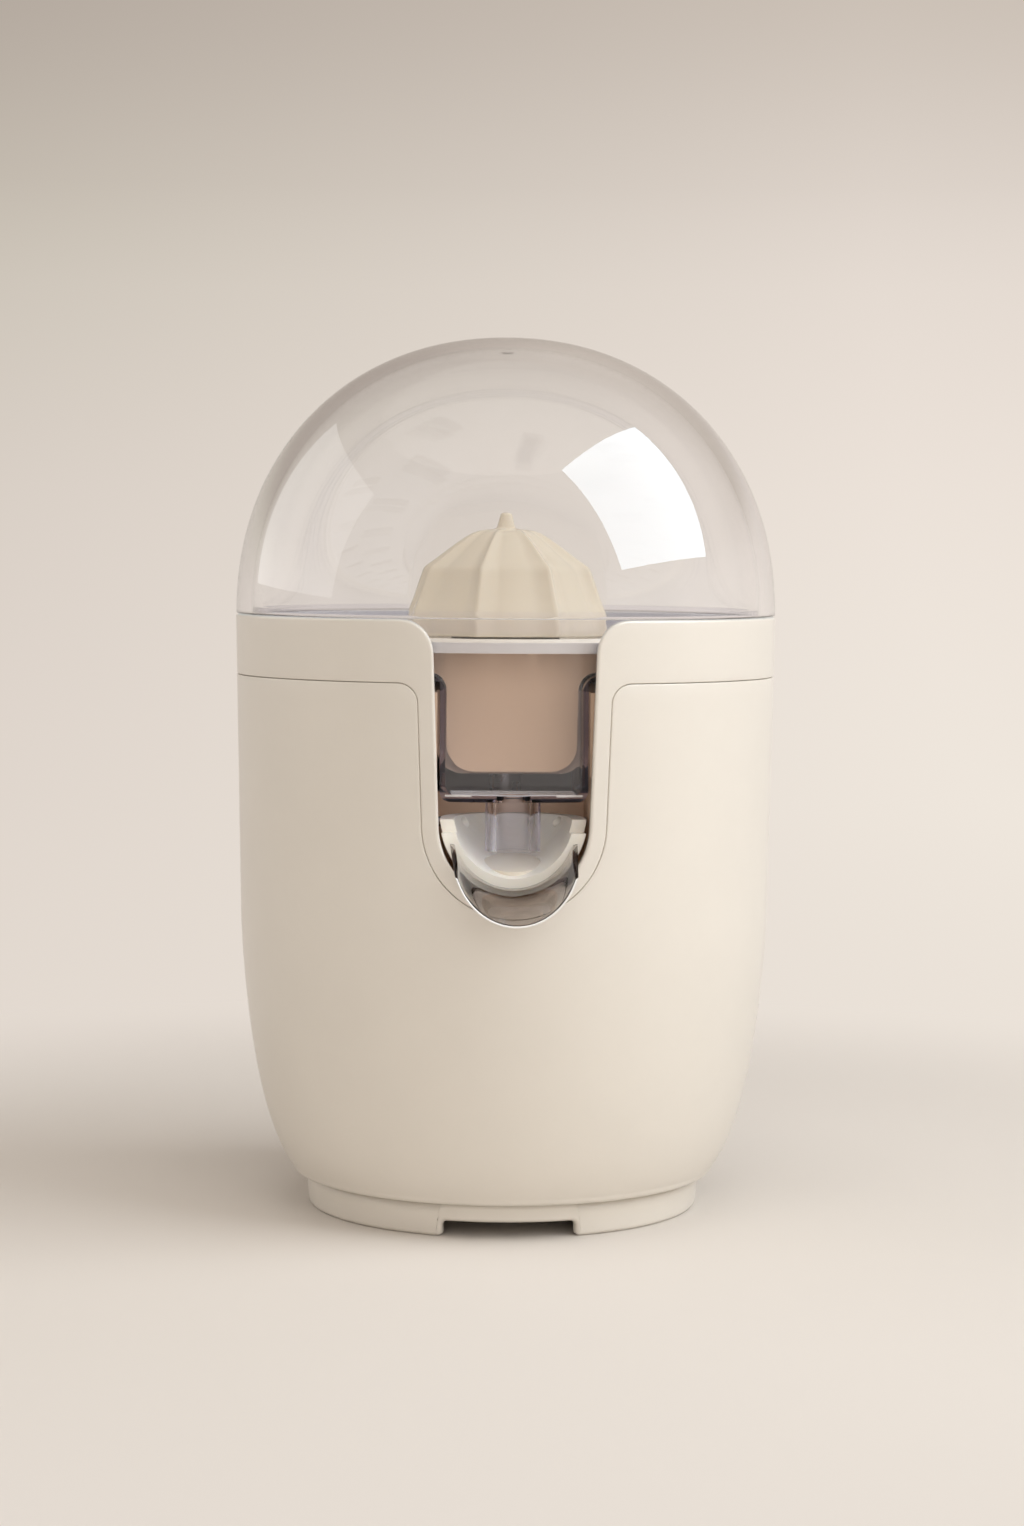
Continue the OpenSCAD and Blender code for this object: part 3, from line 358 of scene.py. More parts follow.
LOOKS = {
    "cream_plastic": cream, "inner_cream_plastic": inner_cream, "clear_plastic": bowl_clear,
    "smoky_clear_plastic": lip_clear, "white_acetal": acetal, "steel": steel, "laminated_iron": iron,
    "copper_wire": copper, "bronze": bronze, "black_rubber": rubber, "pale_silicone": silicone,
    "black_plastic": black, "red_plastic": red, "yellow_plastic": yellow, "wire_sleeve": sleeve,
}
OWN_LOOK = {
    "spout_trough": cream_trough_painted_light, "motor_can": zinc, "motor_end_cap": zinc, "reamer_hub": cream_reamer,
    "strainer": strainer_painted_light_and_shade,
}
for part in frame["record"]["subparts"]:
    look = OWN_LOOK.get(part["node"], LOOKS[part["material_slot"]])
    node_materials = nodes[part["node"]].data.materials
    node_materials.clear()
    node_materials.append(look)


# ---------------------------------------------------------------- mesh helpers
def quarter(i, n):
    """Angle after i of the n steps of a quarter turn."""
    return math.pi / 2 * i / n


def at(r, angle, z):
    """Point at a radius, an angle round the axis and a height."""
    return (r * math.sin(angle), -r * math.cos(angle), z)


def circle(r, z, n):
    return [at(r, 2 * math.pi * k / n, z) for k in range(n)]


def add_mesh(name, points, faces, look):
    me = bpy.data.meshes.new(name)
    me.from_pydata([(x * MM, y * MM, z * MM) for x, y, z in points], [], faces)
    me.validate()
    me.update()
    me.polygons.foreach_set("use_smooth", [True] * len(me.polygons))
    me.materials.append(look)
    o = bpy.data.objects.new(name, me)
    bpy.context.scene.collection.objects.link(o)
    return o


def loft(rows, close=False, skip=None, flip=False):
    """Points and quads between rows that each go all the way round. Close joins the last row to the first,
    skip says which quads are left out, and flip turns the faces to the other side."""
    n = len(rows[0])
    points = [p for r in rows for p in r]
    faces = []
    last = len(rows) if close else len(rows) - 1
    for i in range(last):
        j = (i + 1) % len(rows)
        for k in range(n):
            m = (k + 1) % n
            quad = (i * n + k, i * n + m, j * n + m, j * n + k)
            if skip and skip([points[q] for q in quad]):
                continue
            faces.append(quad[::-1] if flip else quad)
    return points, faces


def end_faces(points, n, flip=False):
    """Faces that close the first and the last row of a loft, which have n points."""
    first, last = tuple(range(n)), tuple(range(len(points) - n, len(points)))
    return [first, last[::-1]] if flip else [first[::-1], last]


def spin(profile, n, close=False):
    return loft([circle(r, z, n) for r, z in profile], close=close)


def piece(o, body, slot_name, *replaced):
    if replaced:
        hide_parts(*replaced)
    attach(o, body)


def soften(o, width):
    """Round the sharp edges of a CAD node with modifiers."""
    b = o.modifiers.new("edge", "BEVEL")
    b.width = width * MM
    b.segments = 3
    b.limit_method = "ANGLE"
    b.angle_limit = math.radians(32)
    b.harden_normals = False
    b.use_clamp_overlap = True
    w = o.modifiers.new("shading", "WEIGHTED_NORMAL")
    w.keep_sharp = False


# ---------------------------------------------------------------- the front curves
# Points of half a row: along the opening's round bottom, up its side, round its upper corner, and along the
# ring to the back.
N_ARC, N_SIDE, N_CORNER, N_RING = 36, 16, 14, 60
HALF = N_ARC + N_SIDE + N_CORNER + N_RING + 1
# For each of them, how far it is on the way from the opening's side (0) to the ring (1).
ON_RING = [smooth((i - N_ARC - N_SIDE) / N_CORNER) for i in range(HALF)]


def half_width(r, z):
    """Half the opening's width at a height, when its round bottom has radius r."""
    return r / math.cos(LEAN) + (z - OPEN_Z) * math.tan(LEAN)


def front_curve(r, edge, corner):
    """(angle, height) of half a row round an opening with radius r, whose ring is at the height edge."""
    xz = []
    for i in range(N_ARC):
        a = lerp(-math.pi / 2, -LEAN, i / N_ARC)
        xz.append((r * math.cos(a), OPEN_Z + r * math.sin(a)))
    z0, z1 = OPEN_Z - r * math.sin(LEAN), edge - corner
    for i in range(N_SIDE):
        z = lerp(z0, z1, i / N_SIDE)
        xz.append((half_width(r, z), z))
    xc = half_width(r, z1) + corner
    for i in range(N_CORNER):
        a = lerp(math.pi, math.pi / 2, i / N_CORNER)
        xz.append((xc + corner * math.cos(a), z1 + corner * math.sin(a)))
    out = [(math.asin(x / side_r(z)), z) for x, z in xz]
    start = math.asin(xc / side_r(edge))
    for i in range(N_RING + 1):
        out.append((lerp(start, math.pi, i / N_RING), edge))
    return out


def open_curve(s):
    """Edge of the opening, moved into the collar by s."""
    return front_curve(OPEN_R + s, RIM_Z - s, OPEN_CORNER - s)


def seam_curve(s):
    """Collar's edge at the seam, moved into the collar by s."""
    return front_curve(OPEN_R + BAND_W - s, SEAM_Z + s, SEAM_CORNER + s)


def shell_curve(s):
    """Body's edge at the seam, moved into the body by s."""
    return front_curve(OPEN_R + BAND_W + GAP + s, SEAM_Z - GAP - s, SEAM_CORNER - GAP - s)


def between(a, b, t):
    return [(lerp(p[0], q[0], t), lerp(p[1], q[1], t)) for p, q in zip(a, b)]


def place(angle, z, depth, radial=1.0):
    """Point at a depth under the side. With radial 0 it lies straight behind the point on the side, and with
    radial 1 it lies on the way from there to the axis."""
    r0 = side_r(z)
    r = r0 - depth
    x, y, z = at(r, angle, z)
    if radial < 1:
        x1 = r0 * math.sin(angle)
        y1 = -math.sqrt(max(r * r - x1 * x1, 0))
        x, y = lerp(x1, x, radial), lerp(y1, y, radial)
    return x, y, z


def whole(half_row):
    """Row all the way round from its right half."""
    left = [(-x, y, z) for x, y, z in half_row[-2:0:-1]]
    return half_row + left


def row(curve, depth):
    """Row at a depth under a curve, measured towards the axis."""
    return whole([place(angle, z, depth) for angle, z in curve])


def front_row(curve, depth, ring_depth, drop=0.0):
    """Row under a curve, straight behind it at the opening. From there to the ring, its depth goes over to
    ring_depth and it goes down by drop."""
    half_row = []
    for (angle, z), t in zip(curve, ON_RING):
        half_row.append(place(angle, z - drop * t, lerp(depth, ring_depth, t), t))
    return whole(half_row)


def fillet(curve, radius, n, inwards):
    """Rows round an edge, from the side inwards or from the inside to the side."""
    rows = []
    for i in range(n + 1) if inwards else range(n, -1, -1):
        a = quarter(i, n)
        rows.append(row(curve(radius * (1 - math.sin(a))), radius * (1 - math.cos(a))))
    return rows


# ---------------------------------------------------------------- collar
OPEN_EDGE, SEAM_EDGE = 0.8, 0.3
# Tongue behind the seam: how near it comes to the body, how deep it starts and how deep it goes.
TONGUE_GAP, TONGUE_TOP, TONGUE_BACK = 0.03, 0.75, 3.0
# Depth of the seam's groove.
SEAM_DEPTH = 0.7
# Rows behind the opening's edge, over the seat of the bowl's rim to the back of the band: how far into the
# collar, depth at the opening, depth on the ring, drop on the ring.
SEAT = ((0, WALL, WALL, 0), (0, 4.5, WALL, 4.2), (0, 6.2, 6.2, 4.2), (0, 6.3, 6.2, 8.2),
        (2, 6.3, 4.5, 6.2), (2, WALL, 3.0, 9.0))

tongue = seam_curve(TONGUE_GAP - GAP)
rows = [front_row(tongue, TONGUE_BACK, TONGUE_BACK), front_row(tongue, TONGUE_TOP, TONGUE_TOP)]
rows.append(front_row(seam_curve(0), SEAM_DEPTH, SEAM_DEPTH))
rows += fillet(seam_curve, SEAM_EDGE, 4, False)
for t in (0.12, 0.3, 0.5, 0.7, 0.88):
    rows.append(row(between(seam_curve(SEAM_EDGE), open_curve(OPEN_EDGE), t), 0))
rows += fillet(open_curve, OPEN_EDGE, 6, True)
for s, depth, ring_depth, drop in SEAT:
    rows.append(front_row(open_curve(s), depth, ring_depth, drop))
points, faces = loft(rows, close=True)
collar = add_mesh("collar_band", points, faces, cream)
piece(collar, "housing", "cream_plastic", "collar")

# ---------------------------------------------------------------- body shell
# The side ends above the foot in a round edge, which stands on the foot inside the foot's own edge.
BOTTOM_EDGE, BOTTOM_IN = 2.0, 0.25
BOTTOM = FOOT_H + BOTTOM_EDGE
STAND_IN = 1.2
# Height of the floor inside the body.
FLOOR_Z = FOOT_H + 2.5
SIDE_STEPS = 56
# Rows get closer together as they go down, by this power.
CLOSER = 1.5
GLAND_Z, GLAND_HOLE_R = 26, 5.2
# Angles of a row at the foot, at the ends of the four runs of points of a front curve.
FAN_ENDS = (0, 30, 52, 64, 180)
FAN = []
for first, last, n in zip(FAN_ENDS, FAN_ENDS[1:], (N_ARC, N_SIDE, N_CORNER, N_RING)):
    FAN += [math.radians(lerp(first, last, i / n)) for i in range(n)]
FAN.append(math.radians(FAN_ENDS[-1]))


def shell_row(top, t, depth):
    """Row of the side, from the seam (t is 0) to the bottom (t is 1)."""
    down = 1 - (1 - t) ** CLOSER
    fanned = smooth(t) * 0.5 + t * 0.5
    return whole([place(lerp(angle, fan, fanned), lerp(z, BOTTOM, down), depth)
                  for (angle, z), fan in zip(top, FAN)])


def bottom_row(r, z):
    return whole([at(r, a, z) for a in FAN])


def gland_hole(quad):
    """The cord's gland goes through the back, low down."""
    x, y, z = (sum(p[i] for p in quad) / 4 for i in range(3))
    return y > 0 and math.hypot(x, z - GLAND_Z) < GLAND_HOLE_R


rows = [row(shell_curve(0), WALL)]
rows += fillet(shell_curve, SEAM_EDGE, 4, False)
outer_top, inner_top = shell_curve(SEAM_EDGE), shell_curve(0)
rows += [shell_row(outer_top, i / SIDE_STEPS, 0) for i in range(1, SIDE_STEPS + 1)]
low_r = side_r(BOTTOM)
for degrees in (18, 36, 54, 72, 90):
    a = math.radians(degrees)
    r = low_r - BOTTOM_EDGE + BOTTOM_EDGE * math.cos(a) - BOTTOM_IN * math.sin(a)
    rows.append(bottom_row(r, BOTTOM - BOTTOM_EDGE * math.sin(a)))
rows += [bottom_row(FOOT_R - STAND_IN, FOOT_H), bottom_row(FOOT_R - STAND_IN, FLOOR_Z)]
rows += [shell_row(inner_top, t, WALL) for t in (0.97, 0.9, 0.8, 0.65, 0.45, 0.25, 0.1)]
points, faces = loft(rows, close=True, skip=gland_hole, flip=True)
shell = add_mesh("body_side", points, faces, cream)
piece(shell, "housing", "cream_plastic", "body_shell")

# ---------------------------------------------------------------- foot ring and base
NOTCH_HALF, NOTCH_H, NOTCH_R = 20.5, 4.8, 1.6
N_NOTCH, N_BEND, N_RIM = 12, 8, 70
# The ring gets narrower by this from its top to its lower edge, which is round outside and inside.
FOOT_DRAFT = 1.0
FOOT_WALL = 3.0
FOOT_EDGE, FOOT_INNER_EDGE = 1.3, 0.5
# Underside of the base, from the axis to the ring: (radius, height).
UNDERSIDE = ((TIP_R, 7.5), (20, 7.5), (40, 7.5), (56.2, 7.5), (57.0, 7.2), (57.4, 6.4))
BASE_TOP_R = 40


def foot_curve(s):
    """(angle, height) of the ring's lower edge with its notch, moved up by s."""
    xz = []
    for i in range(N_NOTCH):
        xz.append((lerp(0, NOTCH_HALF - NOTCH_R, i / N_NOTCH), NOTCH_H + s))
    r = NOTCH_R + s
    for i in range(N_BEND):
        a = lerp(math.pi / 2, 0, i / N_BEND)
        xz.append((NOTCH_HALF - NOTCH_R + r * math.cos(a), NOTCH_H - NOTCH_R + r * math.sin(a)))
    r = max(NOTCH_R - s, 0.05)
    for i in range(N_BEND + 1):
        a = lerp(math.pi, 1.5 * math.pi, i / N_BEND)
        xz.append((NOTCH_HALF + NOTCH_R + r * math.cos(a), NOTCH_R + r * math.sin(a)))
    out = [(math.asin(x / FOOT_R), z) for x, z in xz]
    start = out[-1][0]
    return out + [(lerp(start, math.pi, i / N_RIM), s) for i in range(1, N_RIM + 1)]


def foot_r(z):
    return FOOT_R - FOOT_DRAFT * (1 - z / FOOT_H)


def foot_row(curve, depth):
    return whole([at(foot_r(z) - depth, angle, z) for angle, z in curve])


def level_row(r, z):
    """Row at one radius and height, with the angles of the other rows."""
    return whole([at(r, angle, z) for angle, _ in foot_curve(0)])


rows = [level_row(r, z) for r, z in UNDERSIDE]
for i in range(5, -1, -1):
    a = math.pi / 2 - quarter(i, 5)
    depth = FOOT_WALL - FOOT_INNER_EDGE * (1 - math.cos(a))
    rows.append(foot_row(foot_curve(FOOT_INNER_EDGE * (1 - math.sin(a))), depth))
for i in range(6, -1, -1):
    a = quarter(i, 6)
    rows.append(foot_row(foot_curve(FOOT_EDGE * (1 - math.sin(a))), FOOT_EDGE * (1 - math.cos(a))))
foot_top = [(angle, FOOT_H) for angle, _ in foot_curve(0)]
rows += [foot_row(between(foot_curve(FOOT_EDGE), foot_top, t), 0) for t in (0.3, 0.6, 1.0)]
rows += [level_row(BASE_TOP_R, FOOT_H), level_row(TIP_R, FOOT_H)]
points, faces = loft(rows)
foot = add_mesh("foot_ring", points, faces, cream)
piece(foot, "housing", "cream_plastic", "base_plate")

# ---------------------------------------------------------------- lid
# The outline is a superellipse of this power. The wall is thicker at the rim than at the crown.
POWER = 2.13
LID_WALL, LID_CROWN = 4.9, 4
LID_GAP, LID_EDGE, LID_CHAMFER = 0.15, 0.7, 0.5
# The drawn lid and spout lip lie this far inside the outside of the CAD nodes.
SKIN = 0.02
CROWN_R = 0.002
LID_H = LID_TOP - RIM_Z
LID_STEPS = 64
LID_TURNS = [0.006, 0.008, 0.011, 0.015, 0.022] + [i / LID_STEPS for i in range(2, LID_STEPS)]


def dome(r, h):
    """(radius, height) from the rim to the crown of a dome on the collar."""
    out = []
    for turn in LID_TURNS:
        a = math.pi / 2 * turn
        out.append((r * math.cos(a) ** (2 / POWER), RIM_Z + h * math.sin(a) ** (2 / POWER)))
    return out + [(CROWN_R, RIM_Z + h)]


profile = [(BODY_R - LID_WALL + LID_CHAMFER, RIM_Z + LID_GAP)]
for i in range(7):
    a = quarter(i, 6)
    r = BODY_R - SKIN - LID_EDGE * (1 - math.sin(a))
    profile.append((r, RIM_Z + LID_GAP + LID_EDGE * (1 - math.cos(a))))
profile += dome(BODY_R - SKIN, LID_H - SKIN)
profile += reversed(dome(BODY_R - LID_WALL, LID_H - LID_CROWN))
profile.append((BODY_R - LID_WALL, RIM_Z + LID_GAP + LID_CHAMFER))
points, faces = spin(profile, 160, close=True)
lid = add_mesh("lid_shell", points, faces, lid_clear)
piece(lid, "lid", "clear_plastic", "lid_dome")

# ---------------------------------------------------------------- reamer
# One of the ridges is this many degrees from the front. A ridge slopes down over this share of the way to the
# next one, and its crest is softened.
RIDGES = 8
CREST = 27.0
SLOPE_SHARE = 0.27
CREST_SOFT = 0.06
CONE_SIDES = 256
# Outside of the cone, from its flange up: (height, radius of the ridges, depth of the flutes).
CONE = (
    (0.0, 32.2, 2.4), (0.4, 32.55, 2.6), (3.0, 32.6, 2.9), (6.0, 32.45, 3.1), (8.2, 31.7, 3.4),
    (11.0, 30.5, 3.6), (14.0, 29.4, 3.7), (17.5, 28.1, 3.8), (19.6, 27.3, 3.8), (20.4, 26.7, 3.8),
    (21.2, 25.6, 3.7), (22.4, 23.7, 3.5), (24.0, 21.4, 3.2), (26.9, 17.2, 2.6), (29.2, 13.6, 2.1),
    (30.5, 11.2, 1.7), (31.2, 9.0, 1.2), (31.6, 6.6, 0.5), (31.8, 4.2, 0.1), (32.1, 3.1, 0.0),
    (32.8, 2.7, 0.0), (35.4, 2.0, 0.0), (36.2, 1.75, 0.0), (36.55, 1.2, 0.0), (36.7, 0.6, 0.0),
    (36.72, TIP_R, 0.0),
)
# Inside of the cone, from its top down: (radius, height).
CONE_INSIDE = ((TIP_R, 27.2), (0.6, 26.6), (6.8, 25.8), (11.0, 24.4), (22.5, 13.0), (27.2, 6.5), (29.2, 2.0),
               (29.6, 0.01))
CONE_STRETCH = (reamer_hi[2] - reamer_lo[2]) / CONE[-1][0]


def refined(table, n):
    """Table with n rows for each of its rows but the last."""
    out = []
    for low, high in zip(table, table[1:]):
        for i in range(n):
            out.append([lerp(a, b, i / n) for a, b in zip(low, high)])
    return out + [table[-1]]


def flute(angle):
    """Share of the flutes' depth at an angle: 0 on a crest and 1 between ridges."""
    pitch = ((math.degrees(angle) - CREST) / (360 / RIDGES)) % 1.0
    u = min(min(pitch, 1 - pitch) / SLOPE_SHARE, 1.0)
    f = u * (2 - u)
    return math.sqrt(f * f + CREST_SOFT ** 2) - CREST_SOFT


def cone_row(z, r, depth):
    angles = [2 * math.pi * k / CONE_SIDES for k in range(CONE_SIDES)]
    return [at(r - depth * flute(a), a, reamer_lo[2] + z * CONE_STRETCH) for a in angles]


rows = [circle(r, reamer_lo[2] + z, CONE_SIDES) for r, z in CONE_INSIDE]
rows += [cone_row(z, r, depth) for z, r, depth in refined(CONE, 2)]
points, faces = loft(rows)
faces += end_faces(points, CONE_SIDES)
reamer = add_mesh("reamer_cone", points, faces, cream_reamer)
piece(reamer, "reamer", "cream_plastic", "reamer")

# ---------------------------------------------------------------- return spring
# It is under the press plate.
WIRE_R, WIRE_SIDES = 0.6, 12
TURNS, TURN_STEPS = 5, 36
spring_lo, spring_hi = box_mm("return_spring")
coil_r = spring_hi[0] - WIRE_R


def wire_ring(i):
    """Ring round the wire after i steps of the coil."""
    turn = 2 * math.pi * i / TURN_STEPS
    z = lerp(spring_lo[2] + WIRE_R, spring_hi[2] - WIRE_R, i / (TURNS * TURN_STEPS))
    ring = []
    for k in range(WIRE_SIDES):
        a = 2 * math.pi * k / WIRE_SIDES
        r = coil_r + WIRE_R * math.cos(a)
        ring.append((r * math.cos(turn), r * math.sin(turn), z + WIRE_R * math.sin(a)))
    return ring


points, faces = loft([wire_ring(i) for i in range(TURNS * TURN_STEPS + 1)], flip=True)
faces += end_faces(points, WIRE_SIDES, flip=True)
spring = add_mesh("press_spring", points, faces, steel)
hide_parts("return_spring")
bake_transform(spring)

# ---------------------------------------------------------------- spout lip
# The lip is the lower part of a cone whose axis slopes down to the front.
LIP_SLOPE = math.radians(18)
LIP_ROOT, LIP_TIP, LIP_AXIS_Z = -76.2, -103.15, OPEN_Z + 0.2
LIP_R = 19.47
LIP_NARROWING = 1.8 / 40.1
LIP_WALL, LIP_TIP_SHARE = 1.25, 0.5
# Half the angle that the lip takes up, and the angle over which its upper edges get thin.
LIP_HALF_ANGLE = math.acos(5.55 / 19.2)
LIP_EDGE_ANGLE = 0.05
# At its tip the lip is cut by a plane that leans by this much, about a point this far under the axis.
LIP_CUT_LEAN, LIP_CUT_BELOW = math.radians(12), 28.0
N_LIP, LIP_STEPS, NOSE_STEPS = 72, 14, 6


def lip_point(angle, inset, y, lean):
    """Point of the lip's cone at an angle from its lowest line, where it meets a plane through y."""
    along = Vector((0, -math.cos(LIP_SLOPE), -math.sin(LIP_SLOPE)))
    upright = Vector((0, -math.sin(LIP_SLOPE), math.cos(LIP_SLOPE)))
    out = Vector((math.sin(angle), 0, 0)) - upright * math.cos(angle)
    start = Vector((0, LIP_ROOT, LIP_AXIS_Z)) + out * (LIP_R - inset)
    run = along - out * LIP_NARROWING
    normal = Vector((0, math.cos(lean), -math.sin(lean)))
    base = Vector((0, y, LIP_AXIS_Z - LIP_CUT_BELOW)) if lean else Vector((0, y, 0))
    t = normal.dot(base - start) / normal.dot(run)
    return start + run * t


def lip_row(angle):
    """Row round the lip's wall at an angle: out to the tip, round it and back along the inside."""
    near = (LIP_HALF_ANGLE - abs(angle)) / LIP_EDGE_ANGLE
    wall = LIP_WALL * math.sqrt(max(1 - max(1 - near, 0) ** 2, 0.0004))
    outer, inner = [], []
    for i in range(LIP_STEPS + 1):
        t = i / LIP_STEPS
        y, lean = lerp(LIP_ROOT - SKIN, LIP_TIP, t), LIP_CUT_LEAN * t
        thickness = wall * lerp(1.0, LIP_TIP_SHARE, smooth((t - 0.35) / 0.65))
        outer.append(lip_point(angle, SKIN, y, lean))
        inner.append(lip_point(angle, SKIN + thickness, y, lean))
    forward = (outer[-1] - outer[-2]).normalized()
    tip_out, tip_in = outer.pop(), inner.pop()
    centre, half = (tip_out + tip_in) / 2, (tip_out - tip_in) / 2
    nose = []
    for i in range(NOSE_STEPS + 1):
        a = math.pi * i / NOSE_STEPS
        nose.append(centre + half * math.cos(a) + forward * (thickness / 2) * (math.sin(a) - 1))
    return [tuple(p) for p in outer + nose + inner[::-1]]


rows = [lip_row(lerp(-LIP_HALF_ANGLE, LIP_HALF_ANGLE, k / N_LIP)) for k in range(N_LIP + 1)]
points, faces = loft(rows, flip=True)
lip_ring = len(rows[0])
faces += end_faces(points, lip_ring, flip=True)
lip = add_mesh("spout_lip_clear", points, faces, lip_clear)
piece(lip, "spout", "smoky_clear_plastic", "spout_lip")
# The round of the tip is painted pale: a painted highlight where the clear edge catches the light.
lip.data.materials.append(lip_tip_painted_highlight)
for f in lip.data.polygons:
    if len(f.vertices) == 4 and all(LIP_STEPS < v % lip_ring < LIP_STEPS + NOSE_STEPS for v in f.vertices):
        f.material_index = 1

# ---------------------------------------------------------------- CAD nodes that stay
EDGE_WIDTHS = {
    "spout_trough": 0.5, "deck": 0.3, "spout_cradle": 0.3, "strainer": 0.3, "drip_pad": 0.3,
    "cable_gland": 0.5, "rubber_feet": 0.8, "juice_bowl": 0.25, "microswitch": 0.3, "terminal_block": 0.4,
    "suppression_capacitor": 0.8, "gearbox_tray": 0.3, "gearbox_cover": 0.3,
}
for name, width in EDGE_WIDTHS.items():
    soften(nodes[name], width)

# ---------------------------------------------------------------- backdrop
PAPER = srgb(226, 219, 211)
# Tones of the glowing gradient at the left and at the right, from the floor up: (height, display colour).
# They are painted light and shade: darker to the left and towards the top, lighter to the right.
LEFT_TONES = ((0, (223, 213, 204)), (0.33, (217, 207, 198)), (0.585, (205, 197, 185)),
              (0.72, (196, 187, 175)), (0.96, (176, 165, 155)))
RIGHT_TONES = ((0, (239, 231, 221)), (0.33, (236, 226, 217)), (0.585, (229, 219, 210)),
               (0.72, (222, 212, 203)), (0.96, (200, 189, 178)))
# In metres: half the width and the height that the gradient covers, where lit paper turns into it, and where
# its camera side starts and ends. In reflections the camera side is dimmed to this share.
GRADIENT_HALF, GRADIENT_H = 0.45, 0.8
PAPER_END, GRADIENT_START = 0.2, 0.46
CAMERA_SIDE = (-0.3, -1.0)
CAMERA_SIDE_GLOW = 0.2
# Sweep: flat part, radius of its bend, and height, in millimetres.
SWEEP_FLAT, SWEEP_BEND, SWEEP_H = 1500, 800, 3200


def height_tones(g, height, tones):
    """Colour of the gradient at a height, from a row of tones."""
    n = g.node("ValToRGB")
    ramp = n.color_ramp
    ramp.interpolation = "B_SPLINE"
    for position, tone in tones[1:-1]:
        ramp.elements.new(position).color = srgb(*tone)
    ramp.elements[0].color = srgb(*tones[0][1])
    ramp.elements[-1].color = srgb(*tones[-1][1])
    ramp.elements[-1].position = tones[-1][0]
    g.join(height, n.inputs["Fac"])
    return n.outputs["Color"]


def backdrop_look():
    """Paper sweep: near the object it is lit and takes the shadow. Further off it turns into a glowing
    gradient of painted light and shade, darker to the left and towards the top, for what looks at it
    directly, in a reflection or through something clear."""
    material = bpy.data.materials.new("backdrop_paper")
    g = Graph(material)
    where = g.node("TexCoord").outputs["Object"]
    xyz = g.axes(where)
    rays = g.node("LightPath").outputs

    paper = g.node("BsdfPrincipled", Roughness=0.9, Specular_IOR_Level=0.15)
    fibres = g.noise(where, 3.0, 3.0)
    g.join(g.two_tones(fibres, 0.0, 1.0, shade(PAPER, 0.985), PAPER), paper.inputs["Base Color"])

    height = g.ranged(xyz["Z"], 0.0, GRADIENT_H)
    sides = g.node("Mix")
    sides.data_type = "RGBA"
    g.join(g.ranged(xyz["X"], -GRADIENT_HALF, GRADIENT_HALF), sides.inputs["Factor"])
    g.join(height_tones(g, height, LEFT_TONES), sides.inputs["A"])
    g.join(height_tones(g, height, RIGHT_TONES), sides.inputs["B"])
    glow = g.node("Emission")
    g.join(sides.outputs["Result"], glow.inputs["Color"])
    # A ray through something clear counts as glossy as well, so it is taken off again.
    mirrored = g.maths("SUBTRACT", rays["Is Glossy Ray"], rays["Is Transmission Ray"])
    camera_side = g.maths("MULTIPLY", g.ranged(xyz["Y"], *CAMERA_SIDE, smooth_step=True), mirrored)
    g.join(g.ranged(camera_side, 0.0, 1.0, 1.0, CAMERA_SIDE_GLOW), glow.inputs["Strength"])

    level = g.node("CombineXYZ")
    g.join(xyz["X"], level.inputs["X"])
    g.join(xyz["Y"], level.inputs["Y"])
    distance = g.node("VectorMath")
    distance.operation = "LENGTH"
    g.join(level.outputs["Vector"], distance.inputs[0])
    far = g.ranged(distance.outputs["Value"], PAPER_END, GRADIENT_START, smooth_step=True)
    share = g.maths("MULTIPLY", far, g.looked_at(rays))
    surface = g.mixed(share, paper.outputs["BSDF"], glow.outputs["Emission"])
    g.join(surface, g.node("OutputMaterial").inputs["Surface"])
    return material


sweep = [(0.001, 0), (300, 0), (600, 0), (1000, 0), (SWEEP_FLAT, 0)]
for i in range(1, 17):
    a = quarter(i, 16)
    sweep.append((SWEEP_FLAT + SWEEP_BEND * math.sin(a), SWEEP_BEND * (1 - math.cos(a))))
sweep += [(SWEEP_FLAT + SWEEP_BEND, 2000), (SWEEP_FLAT + SWEEP_BEND, SWEEP_H)]
points, faces = spin(sweep, 128)
floor = add_mesh("backdrop", points, faces, backdrop_look())

# ---------------------------------------------------------------- lamps and world
# The lamps stand round this point and face it, in metres.
LAMPS_AT = Vector((0, 0, 0.2))


def softbox(name, azimuth, elevation, distance, width, height, radiance, tint, reflected=True):
    """Lamp at an angle from the front towards the right and an angle above the level, in degrees."""
    a, e = math.radians(azimuth), math.radians(elevation)
    direction = Vector((math.sin(a) * math.cos(e), -math.cos(a) * math.cos(e), math.sin(e)))
    light = bpy.data.lights.new(name, "AREA")
    light.shape = "RECTANGLE"
    light.size, light.size_y = width, height
    light.energy = radiance * math.pi * width * height
    light.color = tint
    o = bpy.data.objects.new(name, light)
    o.location = LAMPS_AT + direction * distance
    o.rotation_euler = direction.to_track_quat("Z", "Y").to_euler()
    o.visible_camera = False
    o.visible_transmission = False
    o.visible_glossy = reflected
    bpy.context.scene.collection.objects.link(o)
    return o


softbox("key", 69, 36, 1.15, 1.0, 0.95, 3.4, (0.9, 0.95, 1.0))
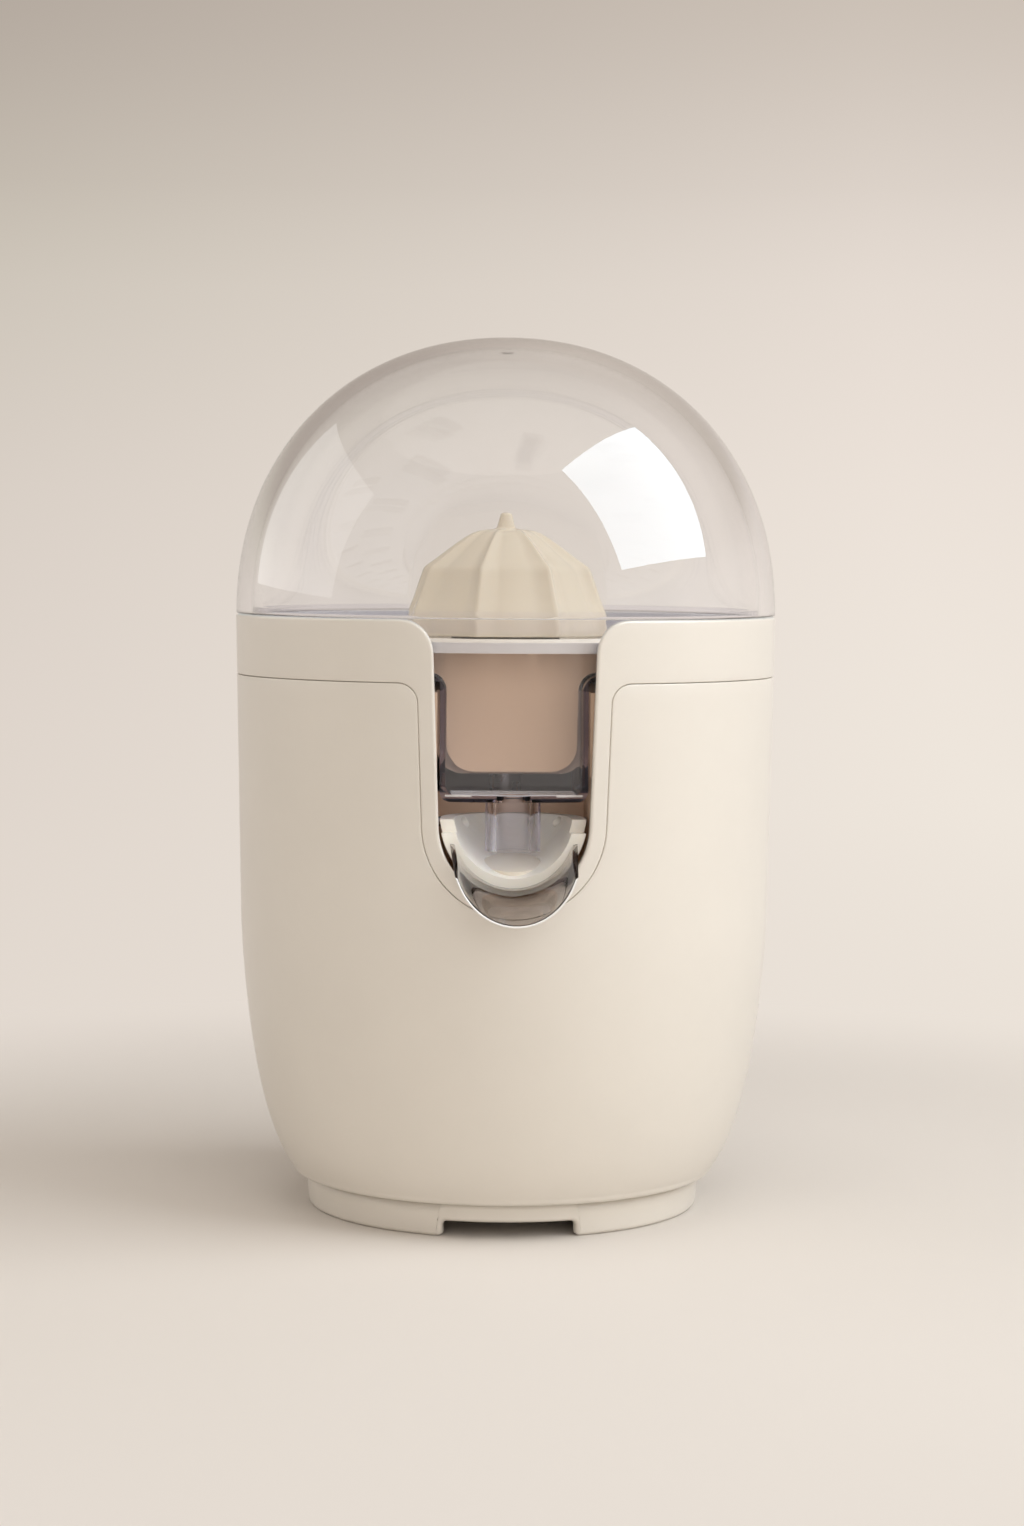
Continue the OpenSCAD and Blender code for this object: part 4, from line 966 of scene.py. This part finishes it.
# The gleam is just in front of the key and is only seen in reflections.
softbox("gleam", 69, 36, 1.12, 0.974, 0.925, 2.8, (0.5, 0.78, 1.0)).visible_diffuse = False
softbox("fill", -104, 22, 1.25, 1.3, 0.85, 1.0, (0.97, 0.985, 1.0))
softbox("front", 9, 17, 1.45, 1.3, 0.8, 1.65, (1.0, 0.965, 0.93), reflected=False)
softbox("top", 2, 74, 1.5, 1.0, 0.9, 2.0, (1.0, 0.975, 0.94), reflected=False)

world = bpy.data.worlds.new("studio")
bpy.context.scene.world = world
sky = Graph(world)
ambient = sky.node("Background", Color=(0.97, 0.925, 0.88, 1), Strength=0.4)
above = sky.node("Background", Color=srgb(196, 187, 177))
seen = sky.looked_at(sky.node("LightPath").outputs)
sky_light = sky.mixed(seen, ambient.outputs["Background"], above.outputs["Background"])
sky.join(sky_light, sky.node("OutputWorld").inputs["Surface"])

# ---------------------------------------------------------------- camera
# It stands a little to the left and looks slightly to the right and down, nearly level. Angles are in
# radians and places in metres.
YAW, PITCH, ROLL = math.radians(2.2), 0.0646, 0.0066
CAMERA_AT = Vector((-0.0384, -0.9993, 0.2026))
CAMERA_SHIFT = 0.00228
SENSOR_H, LENS = 36, 75.38

look_dir = Vector((math.cos(PITCH) * math.sin(YAW), math.cos(PITCH) * math.cos(YAW), -math.sin(PITCH)))
level_right = Vector((math.cos(YAW), -math.sin(YAW), 0))
level_up = level_right.cross(look_dir)
right = level_right * math.cos(ROLL) + level_up * math.sin(ROLL)
up = level_up * math.cos(ROLL) - level_right * math.sin(ROLL)
spot = CAMERA_AT + right * CAMERA_SHIFT
camera_data = bpy.data.cameras.new("camera")
camera_data.sensor_fit = "VERTICAL"
camera_data.sensor_height = SENSOR_H
camera_data.lens = LENS
camera_data.clip_start, camera_data.clip_end = 0.05, 50
camera = bpy.data.objects.new("camera", camera_data)
camera.matrix_world = Matrix((
    (right.x, up.x, -look_dir.x, spot.x),
    (right.y, up.y, -look_dir.y, spot.y),
    (right.z, up.z, -look_dir.z, spot.z),
    (0, 0, 0, 1),
))
bpy.context.scene.collection.objects.link(camera)
bpy.context.scene.camera = camera
bpy.context.scene.view_settings.view_transform = "Standard"
